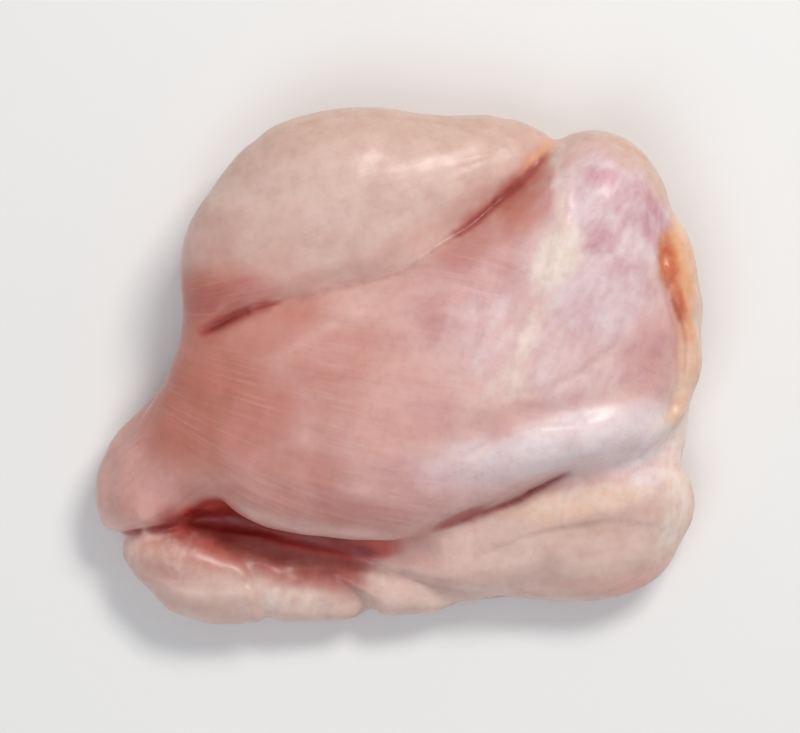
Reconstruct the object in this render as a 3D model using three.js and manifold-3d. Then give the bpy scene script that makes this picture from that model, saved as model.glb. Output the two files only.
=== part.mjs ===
// A raw chicken thigh, boned and skinned, with its edges folded under it and its smooth side up.
// It is one piece of meat, so it is one closed solid.
// Millimetres, +Z up, +X along the thigh, origin under the middle of the piece, on its flat underside.
//
// The meat is a set of muscles. Each muscle is a lobe: a dome whose reach is given at even steps
// round its heading. The lobes are melded into one field, the lower ones first. A fold is pressed into
// those before the upper ones are laid over it. Then furrows are pressed in where muscles meet or tuck
// under, and a net of quads is laid over the surface where the field is zero.
import * as THREE from "three";
import { mergeVertices } from "three/addons/utils/BufferGeometryUtils.js";
import Module from "manifold-3d";

// Each muscle or fold: its middle, heading in degrees, reach at even steps anticlockwise from the
// heading, rise above and fall below its middle plane, lean of that plane, squareness of its
// section, and how softly it melds with the muscles listed before it. The upper ones lie over the fold.
const lowerLobes = {
  underLayer: {
    middle: [2, -14, 5.2],
    heading: 0,
    reach: [48.8, 53, 44, 42, 42, 40, 45.5, 51, 39, 31.5, 36, 48.5],
    rise: 7.3,
    fall: 9,
    lean: [0, 0],
    square: 3,
    meld: 0,
  },
  foldedEnd: {
    middle: [-41, -21.5, 9.5],
    heading: 0,
    reach: [13, 15, 11, 9.2, 10.8, 12.6, 10, 8.5],
    rise: 7.2,
    fall: 13,
    lean: [0.25, 0.08],
    square: 2.5,
    meld: 10,
  },
  lowerFlap: {
    middle: [31, -28.5, 7.6],
    heading: 15,
    reach: [17, 12, 8.5, 11, 25, 12, 11, 12.8],
    rise: 7.2,
    fall: 9,
    lean: [0, 0.02],
    square: 2.3,
    meld: 7,
  },
  lowerFold: {
    middle: [-36, -36.5, 6.5],
    heading: -6,
    reach: [20, 9, 6.5, 8, 12, 9, 8, 11],
    rise: 6,
    fall: 9,
    lean: [-0.06, 0],
    square: 2.2,
    meld: 6,
  },
};
const upperLobes = {
  upperMuscle: {
    middle: [-9.5, 25, 11.8],
    heading: 17,
    reach: [37.5, 23.2, 19, 18.5, 21, 24.5, 31.5, 34, 22, 19, 20.5, 25],
    rise: 13.4,
    fall: 14,
    lean: [-0.05, -0.02],
    square: 2.2,
    meld: 6,
  },
  mainMuscle: {
    middle: [2, -6, 14.5],
    heading: 0,
    reach: [45.5, 42.5, 40, 29.5, 27.5, 33, 43.5, 39.5, 30.6, 26, 24.8, 30.4],
    rise: 13.2,
    fall: 12.5,
    lean: [0, 0],
    square: 2.15,
    meld: 6,
  },
  cornerEnd: {
    middle: [34, 21, 12.2],
    heading: 0,
    reach: [13, 15, 18, 14.5, 16, 20, 26, 19],
    rise: 12.2,
    fall: 14,
    lean: [-0.05, 0],
    square: 2.3,
    meld: 8,
  },
  edgeRoll: {
    middle: [30, -13.6, 18.5],
    heading: 14,
    reach: [12, 7, 5, 7.5, 17, 6, 5.5, 6.5],
    rise: 6.6,
    fall: 8,
    lean: [-0.14, 0.12],
    square: 2,
    meld: 5,
  },
  fatPad: {
    middle: [47, 8.5, 11.8],
    heading: 94,
    reach: [14, 6.5, 5.2, 6.5, 16, 4.8, 3.8, 5.4],
    rise: 5,
    fall: 9,
    lean: [0, 0],
    square: 2.2,
    meld: 4,
  },
};

// Each furrow: the points that its line passes through, its depth and its width, or its widths to the
// left and to the right of its direction. The fold is a wide one that the main muscle hangs over.
// Those on top part the muscles, those at the side part the layers of the rim, and those underneath
// are where the edges of the meat are tucked in.
const fold = {
  line: [[-46, -31], [-38, -29.5], [-31, -30], [-24, -31.2], [-14, -33], [-4, -34.5], [6, -32]],
  depth: 5.5,
  width: [6, 5.5],
};
const topFurrows = [
  { line: [[-36, 3.6], [-24.6, 8.2], [-13.7, 10.8], [-1.5, 14.3], [6, 18.5]], depth: 1.8, width: 2.8 },
  { line: [[2, 17], [9.6, 21.3], [18.3, 28.3], [26.5, 37]], depth: 2.4, width: 2.8 },
  {
    line: [[-1, -33.4], [7, -29.9], [17.4, -26.5], [25, -21.8], [32, -19.6], [42, -17]],
    depth: 1.2,
    width: 2.8,
  },
  {
    line: [[46.8, 22], [44.4, 15.5], [46, 9.5], [48.2, 3], [48, -5], [46, -12]],
    depth: 1.3,
    width: [2.2, 2.8],
  },
  { line: [[8, -15.5], [20, -11.3], [30, -9.6], [43, -8.2]], depth: 1.4, width: 2.8 },
];
const sideFurrows = [
  { line: [[-14, -34], [-4, -38], [6, -41], [18, -43.5], [32, -47]], depth: 1.5, width: [2.2, 3.4] },
  { line: [[-34, -27], [-41, -30.2], [-48, -31.4], [-55, -31.5]], depth: 1.8, width: [3.2, 2.2] },
  { line: [[-31, -34], [-27, -39], [-25, -45], [-24, -52]], depth: 0.9, width: [3, 2.2] },
  { line: [[-16, -38], [-10, -41.5], [-5, -46], [-1, -53]], depth: 1, width: [2.2, 3] },
];
const tuckedFurrows = [
  { line: [[-46, 8], [-22, 1], [8, 7], [30, 2], [50, -6]], depth: 2.6, width: 3.6 },
  { line: [[6, 7], [18, 20], [27, 42]], depth: 2.2, width: 3.6 },
  { line: [[-12, 3], [-8, -20], [-14, -48]], depth: 2, width: 3.6 },
];
const POINTS_PER_SPAN = 6; // straight steps between two points of a furrow's line
const FOLD_START = [2, 7]; // heights between which the fold fades in
const TOP_FURROWS_START = [7, 11]; // heights between which a top furrow fades in
const SIDE_FURROWS_START = [0.5, 4]; // heights between which a furrow at the side fades in
const TUCKED_FURROWS_START = [6, 3]; // heights between which a furrow underneath fades in
const LEAST_MELD = 2; // how softly the upper lobes meld where the fold is deepest

// The slow unevenness of soft meat: two crossed waves, each bent by the other's direction.
const swell = { height: 0.35, wave: [6.5, 7.5], bend: [0.7, 0.6], bendWave: [9, 11], shift: 0.8 };

// The underside is pressed flat by its own weight, with a rounded edge.
const BASE_EDGE = 3; // radius where the sides turn under
const BASE_SINK = 0.3; // the field goes this far below the cut that makes the flat face

// The net.
const CELL = 2.2;
const LOW = [-60, -54, -3.6];
const HIGH = [60, 50, 34];
const SETTLING_STEPS = 3;
const RELAXING_PASSES = 3;
const RELAXING_SHARE = 0.5; // how far towards its neighbours a point moves in one pass
const SLOPE_STEP = 0.05; // half the distance over which the field's slope is measured
const LEAST_SLOPE = 0.5; // keeps the distance to a lobe finite near its middle
const GAP_FILL = 0.1; // how far inside the meat a filled corner of the grid lies
const TABLE_THICKNESS = 10;

const clamp01 = (value) => Math.min(1, Math.max(0, value));

function fade(value, [from, to]) {
  const t = clamp01((value - from) / (to - from));
  return t * t * (3 - 2 * t);
}

// The lower of two field values, rounded where they are within `blend` of each other.
function meldLow(a, b, blend) {
  if (blend === 0) return Math.min(a, b);
  const overlap = Math.max(blend - Math.abs(a - b), 0) / blend;
  return Math.min(a, b) - (overlap * overlap * blend) / 4;
}

const meldHigh = (a, b, blend) => -meldLow(-a, -b, blend);

// A lobe's reach at an angle: a smooth closed curve through the values of its reach.
function reachAt(angle, reach) {
  const turns = angle / (2 * Math.PI);
  const place = (turns - Math.floor(turns)) * reach.length;
  const first = Math.floor(place);
  const t = place - first;
  const [a, b, c, d] = [-1, 0, 1, 2].map(
    (k) => reach[(first + k + reach.length) % reach.length],
  );
  return (
    b +
    0.5 * t * (c - a + t * (2 * a - 5 * b + 4 * c - d + t * (3 * (b - c) + d - a)))
  );
}

// About the distance from a point to a lobe's surface, negative inside.
function lobeField(lobe, x, y, z) {
  const dx = x - lobe.middle[0];
  const dy = y - lobe.middle[1];
  const heading = THREE.MathUtils.degToRad(lobe.heading);
  const reach = reachAt(Math.atan2(dy, dx) - heading, lobe.reach);
  const plane = lobe.middle[2] + lobe.lean[0] * dx + lobe.lean[1] * dy;
  const height = z > plane ? lobe.rise : lobe.fall;
  const across = Math.hypot(dx, dy) / reach;
  const up = Math.abs(z - plane) / height;
  const n = lobe.square;
  const size = Math.max((across ** n + up ** n) ** (1 / n), 1e-6);
  const steepness =
    Math.hypot(across ** (n - 1) / reach, up ** (n - 1) / height) / size ** (n - 1);
  return (size - 1) / Math.max(steepness, LEAST_SLOPE / height);
}

// A furrow's line as short straight spans, with the share of its length at each point.
function spansOf(line) {
  const points = line.map(([x, y]) => new THREE.Vector3(x, y, 0));
  const curve = new THREE.CatmullRomCurve3(points, false, "catmullrom", 0.5);
  return curve.getPoints((line.length - 1) * POINTS_PER_SPAN);
}

for (const furrow of [fold, ...topFurrows, ...sideFurrows, ...tuckedFurrows]) {
  furrow.spans = spansOf(furrow.line);
}

// How deep a furrow is at a point: deepest along its line, and fading out at both of its ends.
function furrowDepth({ spans, depth, width }, x, y) {
  const [left, right] = Array.isArray(width) ? width : [width, width];
  let nearest = Infinity;
  let share = 0;
  let reach = left;
  for (let i = 0; i + 1 < spans.length; i++) {
    const from = spans[i];
    const dx = spans[i + 1].x - from.x;
    const dy = spans[i + 1].y - from.y;
    const t = clamp01(((x - from.x) * dx + (y - from.y) * dy) / (dx * dx + dy * dy));
    const distance = Math.hypot(x - from.x - t * dx, y - from.y - t * dy);
    if (distance < nearest) {
      nearest = distance;
      share = (i + t) / (spans.length - 1);
      reach = dx * (y - from.y) - dy * (x - from.x) < 0 ? right : left;
    }
  }
  return depth * Math.sin(Math.PI * share) * Math.exp(-((nearest / reach) ** 2));
}

const furrowGroups = [
  [topFurrows, TOP_FURROWS_START],
  [sideFurrows, SIDE_FURROWS_START],
  [tuckedFurrows, TUCKED_FURROWS_START],
];

function swellAt(x, y) {
  const along = x / swell.wave[0] + swell.bend[0] * Math.sin(y / swell.bendWave[0]);
  const across = y / swell.wave[1] + swell.bend[1] * Math.sin(x / swell.bendWave[1]);
  return swell.height * Math.sin(along) * Math.sin(across + swell.shift);
}

// The whole thigh: negative inside the meat, zero on its surface.
function thighField(x, y, z) {
  let value = Infinity;
  for (const lobe of Object.values(lowerLobes)) {
    value = meldLow(value, lobeField(lobe, x, y, z), lobe.meld);
  }
  const folded = furrowDepth(fold, x, y);
  value += folded * fade(z, FOLD_START);
  for (const lobe of Object.values(upperLobes)) {
    const meld = Math.max(lobe.meld - folded, LEAST_MELD);
    value = meldLow(value, lobeField(lobe, x, y, z), meld);
  }
  value = meldHigh(value - swellAt(x, y), -BASE_SINK - z, BASE_EDGE);
  for (const [furrows, start] of furrowGroups) {
    const share = fade(z, start);
    if (share === 0) continue;
    for (const furrow of furrows) value += share * furrowDepth(furrow, x, y);
  }
  return value;
}

// Moves a point of the net along the field's slope until it lies on the surface, or as near to the
// surface as its own cell reaches, so that the net never crosses itself in a crease.
function settle(point, low, high) {
  const h = SLOPE_STEP;
  for (let step = 0; step < SETTLING_STEPS; step++) {
    const { x, y, z } = point;
    const value = thighField(x, y, z);
    const slope = new THREE.Vector3(
      thighField(x + h, y, z) - thighField(x - h, y, z),
      thighField(x, y + h, z) - thighField(x, y - h, z),
      thighField(x, y, z + h) - thighField(x, y, z - h),
    ).divideScalar(2 * h);
    const shift = THREE.MathUtils.clamp(value / slope.lengthSq(), -CELL / 4, CELL / 4);
    point.addScaledVector(slope, -shift).clamp(low, high);
  }
}

// Evens the net out: each point moves towards its neighbours, and then back to the surface.
function relax(points, triangles) {
  const sums = points.map(() => new THREE.Vector3());
  const counts = points.map(() => 0);
  for (let i = 0; i < triangles.length; i += 3) {
    for (let k = 0; k < 3; k++) {
      const from = triangles[i + k];
      const to = triangles[i + ((k + 1) % 3)];
      sums[from].add(points[to]);
      counts[from]++;
    }
  }
  points.forEach((point, i) => {
    point.lerp(sums[i].divideScalar(counts[i]), RELAXING_SHARE);
    const low = point.clone().subScalar(CELL / 2);
    settle(point, low, low.clone().addScalar(CELL));
  });
}

// Fills each gap that is too narrow for the grid: one where the corners of a grid face are inside
// and outside in turn, so that two walls would share an edge of the net.
function closeNarrowGaps(values, stride) {
  const sides = [[0, 1], [1, 2], [2, 0]];
  let closed = true;
  while (closed) {
    closed = false;
    for (let cell = 0; cell < values.length; cell++) {
      for (const [side, other] of sides) {
        const corners = [0, stride[side], stride[side] + stride[other], stride[other]];
        const inside = corners.map((offset) => values[cell + offset] < 0);
        if (inside[0] !== inside[2] || inside[1] !== inside[3] || inside[0] === inside[1]) continue;
        for (const offset of corners) {
          values[cell + offset] = Math.min(values[cell + offset], -GAP_FILL);
        }
        closed = true;
      }
    }
  }
}

// Lays a net of quads over the surface: one point in each cell that the surface crosses, and one
// quad round each grid edge that it crosses.
function netOver(field) {
  const count = LOW.map((low, axis) => Math.ceil((HIGH[axis] - low) / CELL) + 1);
  const stride = [1, count[0], count[0] * count[1]];
  const values = new Float64Array(count[0] * count[1] * count[2]);
  const cornerOf = (cell) => [
    cell % count[0],
    Math.floor(cell / stride[1]) % count[1],
    Math.floor(cell / stride[2]),
  ];
  for (let cell = 0; cell < values.length; cell++) {
    const [x, y, z] = cornerOf(cell).map((k, axis) => LOW[axis] + k * CELL);
    values[cell] = field(x, y, z);
  }
  closeNarrowGaps(values, stride);

  const points = [];
  const pointOfCell = new Map();
  const pointIn = (cell) => {
    if (pointOfCell.has(cell)) return pointOfCell.get(cell);
    const corner = cornerOf(cell);
    const sum = new THREE.Vector3();
    let crossings = 0;
    for (let axis = 0; axis < 3; axis++) {
      const [side, other] = [0, 1, 2].filter((k) => k !== axis);
      for (const offset of [[0, 0], [1, 0], [0, 1], [1, 1]]) {
        const start = cell + offset[0] * stride[side] + offset[1] * stride[other];
        const a = values[start];
        const b = values[start + stride[axis]];
        if (a < 0 === b < 0) continue;
        const place = [...corner];
        place[side] += offset[0];
        place[other] += offset[1];
        place[axis] += a / (a - b);
        sum.add(new THREE.Vector3(...place));
        crossings++;
      }
    }
    const point = sum.divideScalar(crossings).multiplyScalar(CELL).add(new THREE.Vector3(...LOW));
    const low = new THREE.Vector3(...corner).multiplyScalar(CELL).add(new THREE.Vector3(...LOW));
    settle(point, low, low.clone().addScalar(CELL));
    pointOfCell.set(cell, points.push(point) - 1);
    return points.length - 1;
  };

  const triangles = [];
  for (let cell = 0; cell < values.length; cell++) {
    const corner = cornerOf(cell);
    for (let axis = 0; axis < 3; axis++) {
      const side = (axis + 1) % 3;
      const other = (axis + 2) % 3;
      if (corner[axis] + 1 >= count[axis] || corner[side] === 0 || corner[other] === 0) continue;
      const inside = values[cell] < 0;
      if (inside === values[cell + stride[axis]] < 0) continue;
      const ring = [
        cell - stride[side] - stride[other],
        cell - stride[other],
        cell,
        cell - stride[side],
      ].map(pointIn);
      if (!inside) ring.reverse();
      const shortCut = points[ring[0]].distanceTo(points[ring[2]]);
      const longCut = points[ring[1]].distanceTo(points[ring[3]]);
      const [a, b, c, d] = shortCut <= longCut ? ring : [...ring.slice(1), ring[0]];
      triangles.push(a, b, c, a, c, d);
    }
  }
  for (let pass = 0; pass < RELAXING_PASSES; pass++) relax(points, triangles);
  return new THREE.BufferGeometry().setFromPoints(points).setIndex(triangles);
}

const wasm = await Module();
wasm.setup();

function solidFrom(geometry) {
  const bare = geometry.clone();
  bare.deleteAttribute("normal");
  bare.deleteAttribute("uv");
  const merged = mergeVertices(bare);
  return new wasm.Manifold(
    new wasm.Mesh({
      numProp: 3,
      vertProperties: merged.attributes.position.array,
      triVerts: new Uint32Array(merged.index.array),
    }),
  );
}

function geometryFrom(solid) {
  const mesh = solid.getMesh();
  const geometry = new THREE.BufferGeometry();
  geometry.setAttribute("position", new THREE.BufferAttribute(mesh.vertProperties, 3));
  geometry.setIndex(new THREE.BufferAttribute(mesh.triVerts, 1));
  return geometry;
}

// The block that the piece lies on, which cuts its underside to one flat face.
function tableBlock() {
  const [width, length] = [HIGH[0] - LOW[0], HIGH[1] - LOW[1]];
  const block = new THREE.BoxGeometry(width, length, TABLE_THICKNESS);
  return block.translate((HIGH[0] + LOW[0]) / 2, (HIGH[1] + LOW[1]) / 2, -TABLE_THICKNESS / 2);
}

// The outer skin of a solid: the largest of its closed surfaces, so that no pocket is left inside.
function largestOf(solid) {
  return solid.decompose().reduce((a, b) => (b.volume() > a.volume() ? b : a));
}

function thighGeometry() {
  const meat = largestOf(solidFrom(netOver(thighField)));
  const geometry = geometryFrom(meat.subtract(solidFrom(tableBlock())));
  geometry.computeBoundingBox();
  const middle = geometry.boundingBox.getCenter(new THREE.Vector3());
  geometry.translate(-middle.x, -middle.y, 0);
  geometry.computeVertexNormals();
  return geometry;
}

const rawMeat = new THREE.MeshStandardMaterial({
  color: 0xd6a79c,
  roughness: 0.35,
  metalness: 0,
});

const thigh = new THREE.Mesh(thighGeometry(), rawMeat);
thigh.name = "thigh";

const group = new THREE.Group();
group.add(thigh);

export default group;
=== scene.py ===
# %% [markdown]
# # A raw chicken thigh
# A boned and skinned thigh is one soft piece of meat. It is folded so that its smooth outer side is up
# and its edges are tucked under. This lesson builds it in Blender around a fixed model that already
# has the true size: a frame that is loaded first and never changed.
#
# The shape comes from a formula for the muscles, the relief and the small tissues come from Geometry
# Nodes, and the finish is one material that is painted by soft patches on the surface.

# %% Load the frame
import math

import bpy
import numpy as np
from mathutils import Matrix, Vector


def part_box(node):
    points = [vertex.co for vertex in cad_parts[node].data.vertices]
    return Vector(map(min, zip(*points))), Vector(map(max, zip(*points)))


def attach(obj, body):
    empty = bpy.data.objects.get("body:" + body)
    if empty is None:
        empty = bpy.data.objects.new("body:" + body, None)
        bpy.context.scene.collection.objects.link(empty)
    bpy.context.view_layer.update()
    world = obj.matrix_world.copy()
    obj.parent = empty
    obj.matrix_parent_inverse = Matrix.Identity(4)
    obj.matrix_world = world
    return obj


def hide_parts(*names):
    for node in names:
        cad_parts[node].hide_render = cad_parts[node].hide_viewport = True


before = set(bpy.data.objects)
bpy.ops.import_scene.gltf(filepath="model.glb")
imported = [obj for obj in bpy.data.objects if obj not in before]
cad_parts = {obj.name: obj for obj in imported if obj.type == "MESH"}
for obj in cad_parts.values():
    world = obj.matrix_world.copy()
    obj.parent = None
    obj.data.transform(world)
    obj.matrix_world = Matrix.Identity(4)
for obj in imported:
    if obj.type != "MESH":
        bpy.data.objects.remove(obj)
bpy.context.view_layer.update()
MM = 0.001

# %% [markdown]
# ## The muscles
# A thigh is a handful of muscles held together by thin membranes. Each one is a rounded mass that is
# thick in the middle and thin at its rim, so each is given as a lobe: a middle, a reach in every
# direction round it, and how far it rises and falls. It could be sculpted by hand instead, but lobes
# keep every size a plain number in millimetres, and they are the same lobes that the frame has.

# %% Muscles and folds, in millimetres
MUSCLES = {
    "under_layer": {
        "middle": (2, -14, 5.2), "heading": 0, "rise": 7.3, "fall": 9,
        "reach": (48.8, 53, 44, 42, 42, 40, 45.5, 51, 39, 31.5, 36, 48.5),
        "lean": (0, 0), "square": 3, "meld": 0,
    },
    "folded_end": {
        "middle": (-41, -21.5, 9.5), "heading": 0, "rise": 7.2, "fall": 13,
        "reach": (13, 15, 11, 9.2, 10.8, 12.6, 10, 8.5),
        "lean": (0.25, 0.08), "square": 2.5, "meld": 10,
    },
    "lower_flap": {
        "middle": (31, -28.5, 7.6), "heading": 15, "rise": 7.2, "fall": 9,
        "reach": (17, 12, 8.5, 11, 25, 12, 11, 12.8),
        "lean": (0, 0.02), "square": 2.3, "meld": 7,
    },
    "lower_fold": {
        "middle": (-36, -36.5, 6.5), "heading": -6, "rise": 6, "fall": 9,
        "reach": (20, 9, 6.5, 8, 12, 9, 8, 11),
        "lean": (-0.06, 0), "square": 2.2, "meld": 6,
    },
    "upper_muscle": {
        "middle": (-9.5, 25, 11.8), "heading": 17, "rise": 13.4, "fall": 14,
        "reach": (37.5, 23.2, 19, 18.5, 21, 24.5, 31.5, 34, 22, 19, 20.5, 25),
        "lean": (-0.05, -0.02), "square": 2.2, "meld": 6,
    },
    "main_muscle": {
        "middle": (2, -6, 14.5), "heading": 0, "rise": 13.2, "fall": 12.5,
        "reach": (45.5, 42.5, 40, 29.5, 27.5, 33, 43.5, 39.5, 30.6, 26, 24.8, 30.4),
        "lean": (0, 0), "square": 2.15, "meld": 6,
    },
    "corner_end": {
        "middle": (34, 21, 12.2), "heading": 0, "rise": 12.2, "fall": 14,
        "reach": (13, 15, 18, 14.5, 16, 20, 26, 19),
        "lean": (-0.05, 0), "square": 2.3, "meld": 8,
    },
    "edge_roll": {
        "middle": (30, -13.6, 18.5), "heading": 14, "rise": 6.6, "fall": 8,
        "reach": (12, 7, 5, 7.5, 17, 6, 5.5, 6.5),
        "lean": (-0.14, 0.12), "square": 2, "meld": 5,
    },
    "fat_pad": {
        "middle": (47, 8.5, 11.8), "heading": 94, "rise": 5, "fall": 9,
        "reach": (14, 6.5, 5.2, 6.5, 16, 4.8, 3.8, 5.4),
        "lean": (0, 0), "square": 2.2, "meld": 4,
    },
}
print(len(MUSCLES), "muscles and folds")

# %% [markdown]
# To join lobes softly, the surface is described by a field: a number at every place in space that is
# negative inside the meat and positive outside. For one lobe it is about the distance to its surface.

# %% Distance to a lobe
LEAST_SLOPE = 0.5  # keeps the distance to a lobe finite near its middle
TINY = 1e-6  # keeps a division from being by nothing


def smooth_between(a, b, c, d, t):
    """A share t of the way from b to c, on a smooth curve through a, b, c and d."""
    return b + 0.5 * t * (c - a + t * (2 * a - 5 * b + 4 * c - d + t * (3 * (b - c) + d - a)))


def reach_at(angle, reach):
    """The lobe's reach at an angle: a smooth closed curve through its values."""
    values = np.asarray(reach, float)
    place = (angle / (2 * np.pi)) % 1.0 * len(values)
    first = np.floor(place).astype(int)
    around = [values[(first + k) % len(values)] for k in (-1, 0, 1, 2)]
    return smooth_between(*around, place - first)


def lobe_field(lobe, x, y, z):
    """About the distance to a lobe's surface, negative inside."""
    dx = x - lobe["middle"][0]
    dy = y - lobe["middle"][1]
    reach = reach_at(np.arctan2(dy, dx) - math.radians(lobe["heading"]), lobe["reach"])
    plane = lobe["middle"][2] + lobe["lean"][0] * dx + lobe["lean"][1] * dy
    height = np.where(z > plane, lobe["rise"], lobe["fall"])
    across = np.hypot(dx, dy) / reach
    up = np.abs(z - plane) / height
    n = lobe["square"]
    size = np.maximum((across**n + up**n) ** (1 / n), TINY)
    steepness = np.hypot(across ** (n - 1) / reach, up ** (n - 1) / height) / size ** (n - 1)
    return (size - 1) / np.maximum(steepness, LEAST_SLOPE / height)


main_top = lobe_field(MUSCLES["main_muscle"], np.array([2.0]), np.array([-6.0]), np.array([30.0]))
print("30 mm up over the main muscle, its surface is", round(float(main_top[0]), 1), "mm away")

# %% [markdown]
# Two lobes are joined by taking the lower of their fields, rounded where the two are nearly equal.

# %% Join two fields softly
LEAST_MELD = 0.01  # a join is never quite sharp


def meld_low(a, b, blend):
    """The lower of two fields, rounded where they are within `blend` of each other."""
    blend = np.maximum(blend, LEAST_MELD)
    overlap = np.maximum(blend - np.abs(a - b), 0) / blend
    return np.minimum(a, b) - overlap * overlap * blend / 4


print("two equal fields, joined over 6 mm, reach out by", -meld_low(0.0, 0.0, 6.0), "mm")

# %% [markdown]
# ## The furrows
# Where two muscles meet there is a seam, and where an edge is tucked there is a crease. Both are lines
# seen from above, so each furrow is a smooth curve with a depth and a width. The frame has the wide
# ones. The narrow ones are added here, because only a fine net can hold them.

# %% The lines of the furrows, in millimetres
SEAM_LEFT = [(-36, 3.6), (-24.6, 8.2), (-13.7, 10.8), (-1.5, 14.3), (6, 18.5)]
SEAM_RIGHT = [(2, 17), (9.6, 21.3), (18.3, 28.3), (26.5, 37)]
SEAM = [
    (-37, 3.4), (-30, 5.6), (-24.6, 8.2), (-13.7, 10.8),
    (-1.5, 14.3), (9.6, 21.3), (18.3, 28.3), (26, 36),
]
SEAM_END = [(-36.5, 3.2), (-33.6, 4.5), (-30, 6.3), (-26.5, 7.6)]
TUCK = [(-1, -33.4), (7, -29.9), (17.4, -26.5), (25, -21.8), (32, -19.6), (42, -17)]
TUCK_DEEP = [(12, -28), (18.8, -26.3), (22.6, -23.8), (27, -21.5), (34, -19.2)]
FAT_WEB = [(37, -20), (41, -17.2), (45, -14), (49, -10.4), (52, -7)]
FAT_EDGE = [(46.8, 22), (44.4, 15.5), (46, 9.5), (48.2, 3), (48, -5), (46, -12)]
ROLL_EDGE = [(8, -15.5), (20, -11.3), (30, -9.6), (43, -8.2)]
ROLL_CREASE = [(9, -19), (13, -16.6), (17, -14), (21.5, -12.6), (26, -12), (31, -11.8)]
TOP_LIP = [(-24, 38), (-12, 41), (3, 40.4), (15, 38), (24, 35.6)]
SILVER_CREASE = [(41, 17), (40.6, 10), (38, 4.5), (34, -0.5), (29, -4.2), (22, -6.5), (14, -8)]

STRIP_RIDGE = [(28, 37), (27.8, 28), (27, 18), (23.5, 8), (19.5, -2)]
FLAP_WRINKLE = [(11, -36), (22, -32.6), (34, -30), (47, -31)]
FOLD_WRINKLE = [(-50, -36), (-40, -40), (-27, -40.5), (-18, -39)]
WEB_LINE = [(-52, -25), (-46, -18), (-37, -12)]
WEB_END = [(-34, -27), (-41, -30.2), (-48, -31.4), (-55, -31.5)]
print("the seam runs through", len(SEAM), "places")

# %% [markdown]
# A furrow's width is one number, or two where its sides differ: first the left side, seen along the
# line, then the right. A depth below nothing makes a ridge. Some furrows are cut from above, some into
# the sides, and some into the underside, where the edges are tucked under.

# %% Each furrow's line, depth and width, in millimetres
TOP_FURROWS = [
    (SEAM_LEFT, 1.8, 2.8),
    (SEAM_RIGHT, 2.4, 2.8),
    (TUCK, 1.0, (1.6, 2.4)),
    (FAT_EDGE, 1.1, (1.6, 2.8)),
    (ROLL_EDGE, 1.4, 2.8),
    (SEAM, 0.6, (0.8, 1)),
    (SEAM_END, 1.2, (1.3, 1)),
    (TUCK_DEEP, 0.55, (0.7, 1.2)),
    (FAT_WEB, -1.0, 2.2),
    (ROLL_CREASE, 0.55, (0.9, 0.5)),
    (FAT_EDGE, 0.6, 0.8),
    (SILVER_CREASE, 0.45, (1.2, 0.8)),
    (TOP_LIP, 0.35, 0.7),
    (STRIP_RIDGE, -0.4, 1.3),
    (FLAP_WRINKLE, 0.6, (0.8, 3)),
    (FOLD_WRINKLE, 0.5, (2.4, 0.9)),
    (WEB_LINE, 0.35, 1),
]
SIDE_FURROWS = [
    ([(-14, -34), (-4, -38), (6, -41), (18, -43.5), (32, -47)], 1.5, (1, 3.4)),
    (WEB_END, 2.0, (3, 0.9)),
    ([(-31, -34), (-27, -39), (-25, -45), (-24, -52)], 0.9, (2.6, 0.8)),
    ([(-16, -38), (-10, -41.5), (-5, -46), (-1, -53)], 1.0, (0.8, 3)),
    ([(42, -18), (49, -20), (58, -19)], 0.5, (2.4, 3)),
    ([(24, 32), (27.5, 40), (29, 49)], 0.6, 1.8),
    ([(-25, 34), (-27, 42), (-26, 49)], 0.5, 2),
    ([(14, 34), (17, 40), (17, 48)], 0.3, 1.6),
]
TUCKED_FURROWS = [
    ([(-46, 8), (-22, 1), (8, 7), (30, 2), (50, -6)], 2.6, 3.6),
    ([(6, 7), (18, 20), (27, 42)], 2.2, 3.6),
    ([(-12, 3), (-8, -20), (-14, -48)], 2, 3.6),
]
print(len(TOP_FURROWS), "furrows on top,", len(SIDE_FURROWS), "at the sides")

# %% [markdown]
# To know how deep a furrow is at a place, the nearest point of its line is needed, with how far along
# the line it lies and on which side. The line is a smooth curve, drawn as short straight spans.

# %% The distance to a line
POINTS_PER_SPAN = 6


def smooth_line(line):
    """The points of a smooth curve through the points of a line."""
    p = np.asarray(line, float)
    p = np.vstack([2 * p[0] - p[1], p, 2 * p[-1] - p[-2]])
    steps = np.arange(POINTS_PER_SPAN)[:, None] / POINTS_PER_SPAN
    spans = [smooth_between(*four, steps) for four in zip(p[:-3], p[1:-2], p[2:-1], p[3:])]
    return np.vstack([*spans, p[-2]])


def along_line(line, x, y):
    """The distance to a line, below 0 on its right, and how far along it, from 0 to 1, that is."""
    points = smooth_line(line)
    nearest = np.full(np.shape(x), np.inf)
    share = np.zeros(np.shape(x))
    side = np.ones(np.shape(x))
    for i, (start, end) in enumerate(zip(points[:-1], points[1:])):
        span = end - start
        t = np.clip(((x - start[0]) * span[0] + (y - start[1]) * span[1]) / (span @ span), 0, 1)
        distance = np.hypot(x - start[0] - t * span[0], y - start[1] - t * span[1])
        closer = distance < nearest
        turn = span[0] * (y - start[1]) - span[1] * (x - start[0])
        share = np.where(closer, (i + t) / (len(points) - 1), share)
        side = np.where(closer, np.where(turn < 0, -1, 1), side)
        nearest = np.where(closer, distance, nearest)
    return nearest * side, share


print("the seam is drawn with", len(smooth_line(SEAM)), "points")

# %% [markdown]
# A furrow is deepest in the middle of its line. It fades out at both ends and to each side, and it
# strays a little, because nothing in soft meat is drawn with a ruler.

# %% The depth of a furrow
WOBBLE = 0.15  # how far a furrow strays to each side
WOBBLE_WAVES = (3.6, 2.8)


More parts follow.
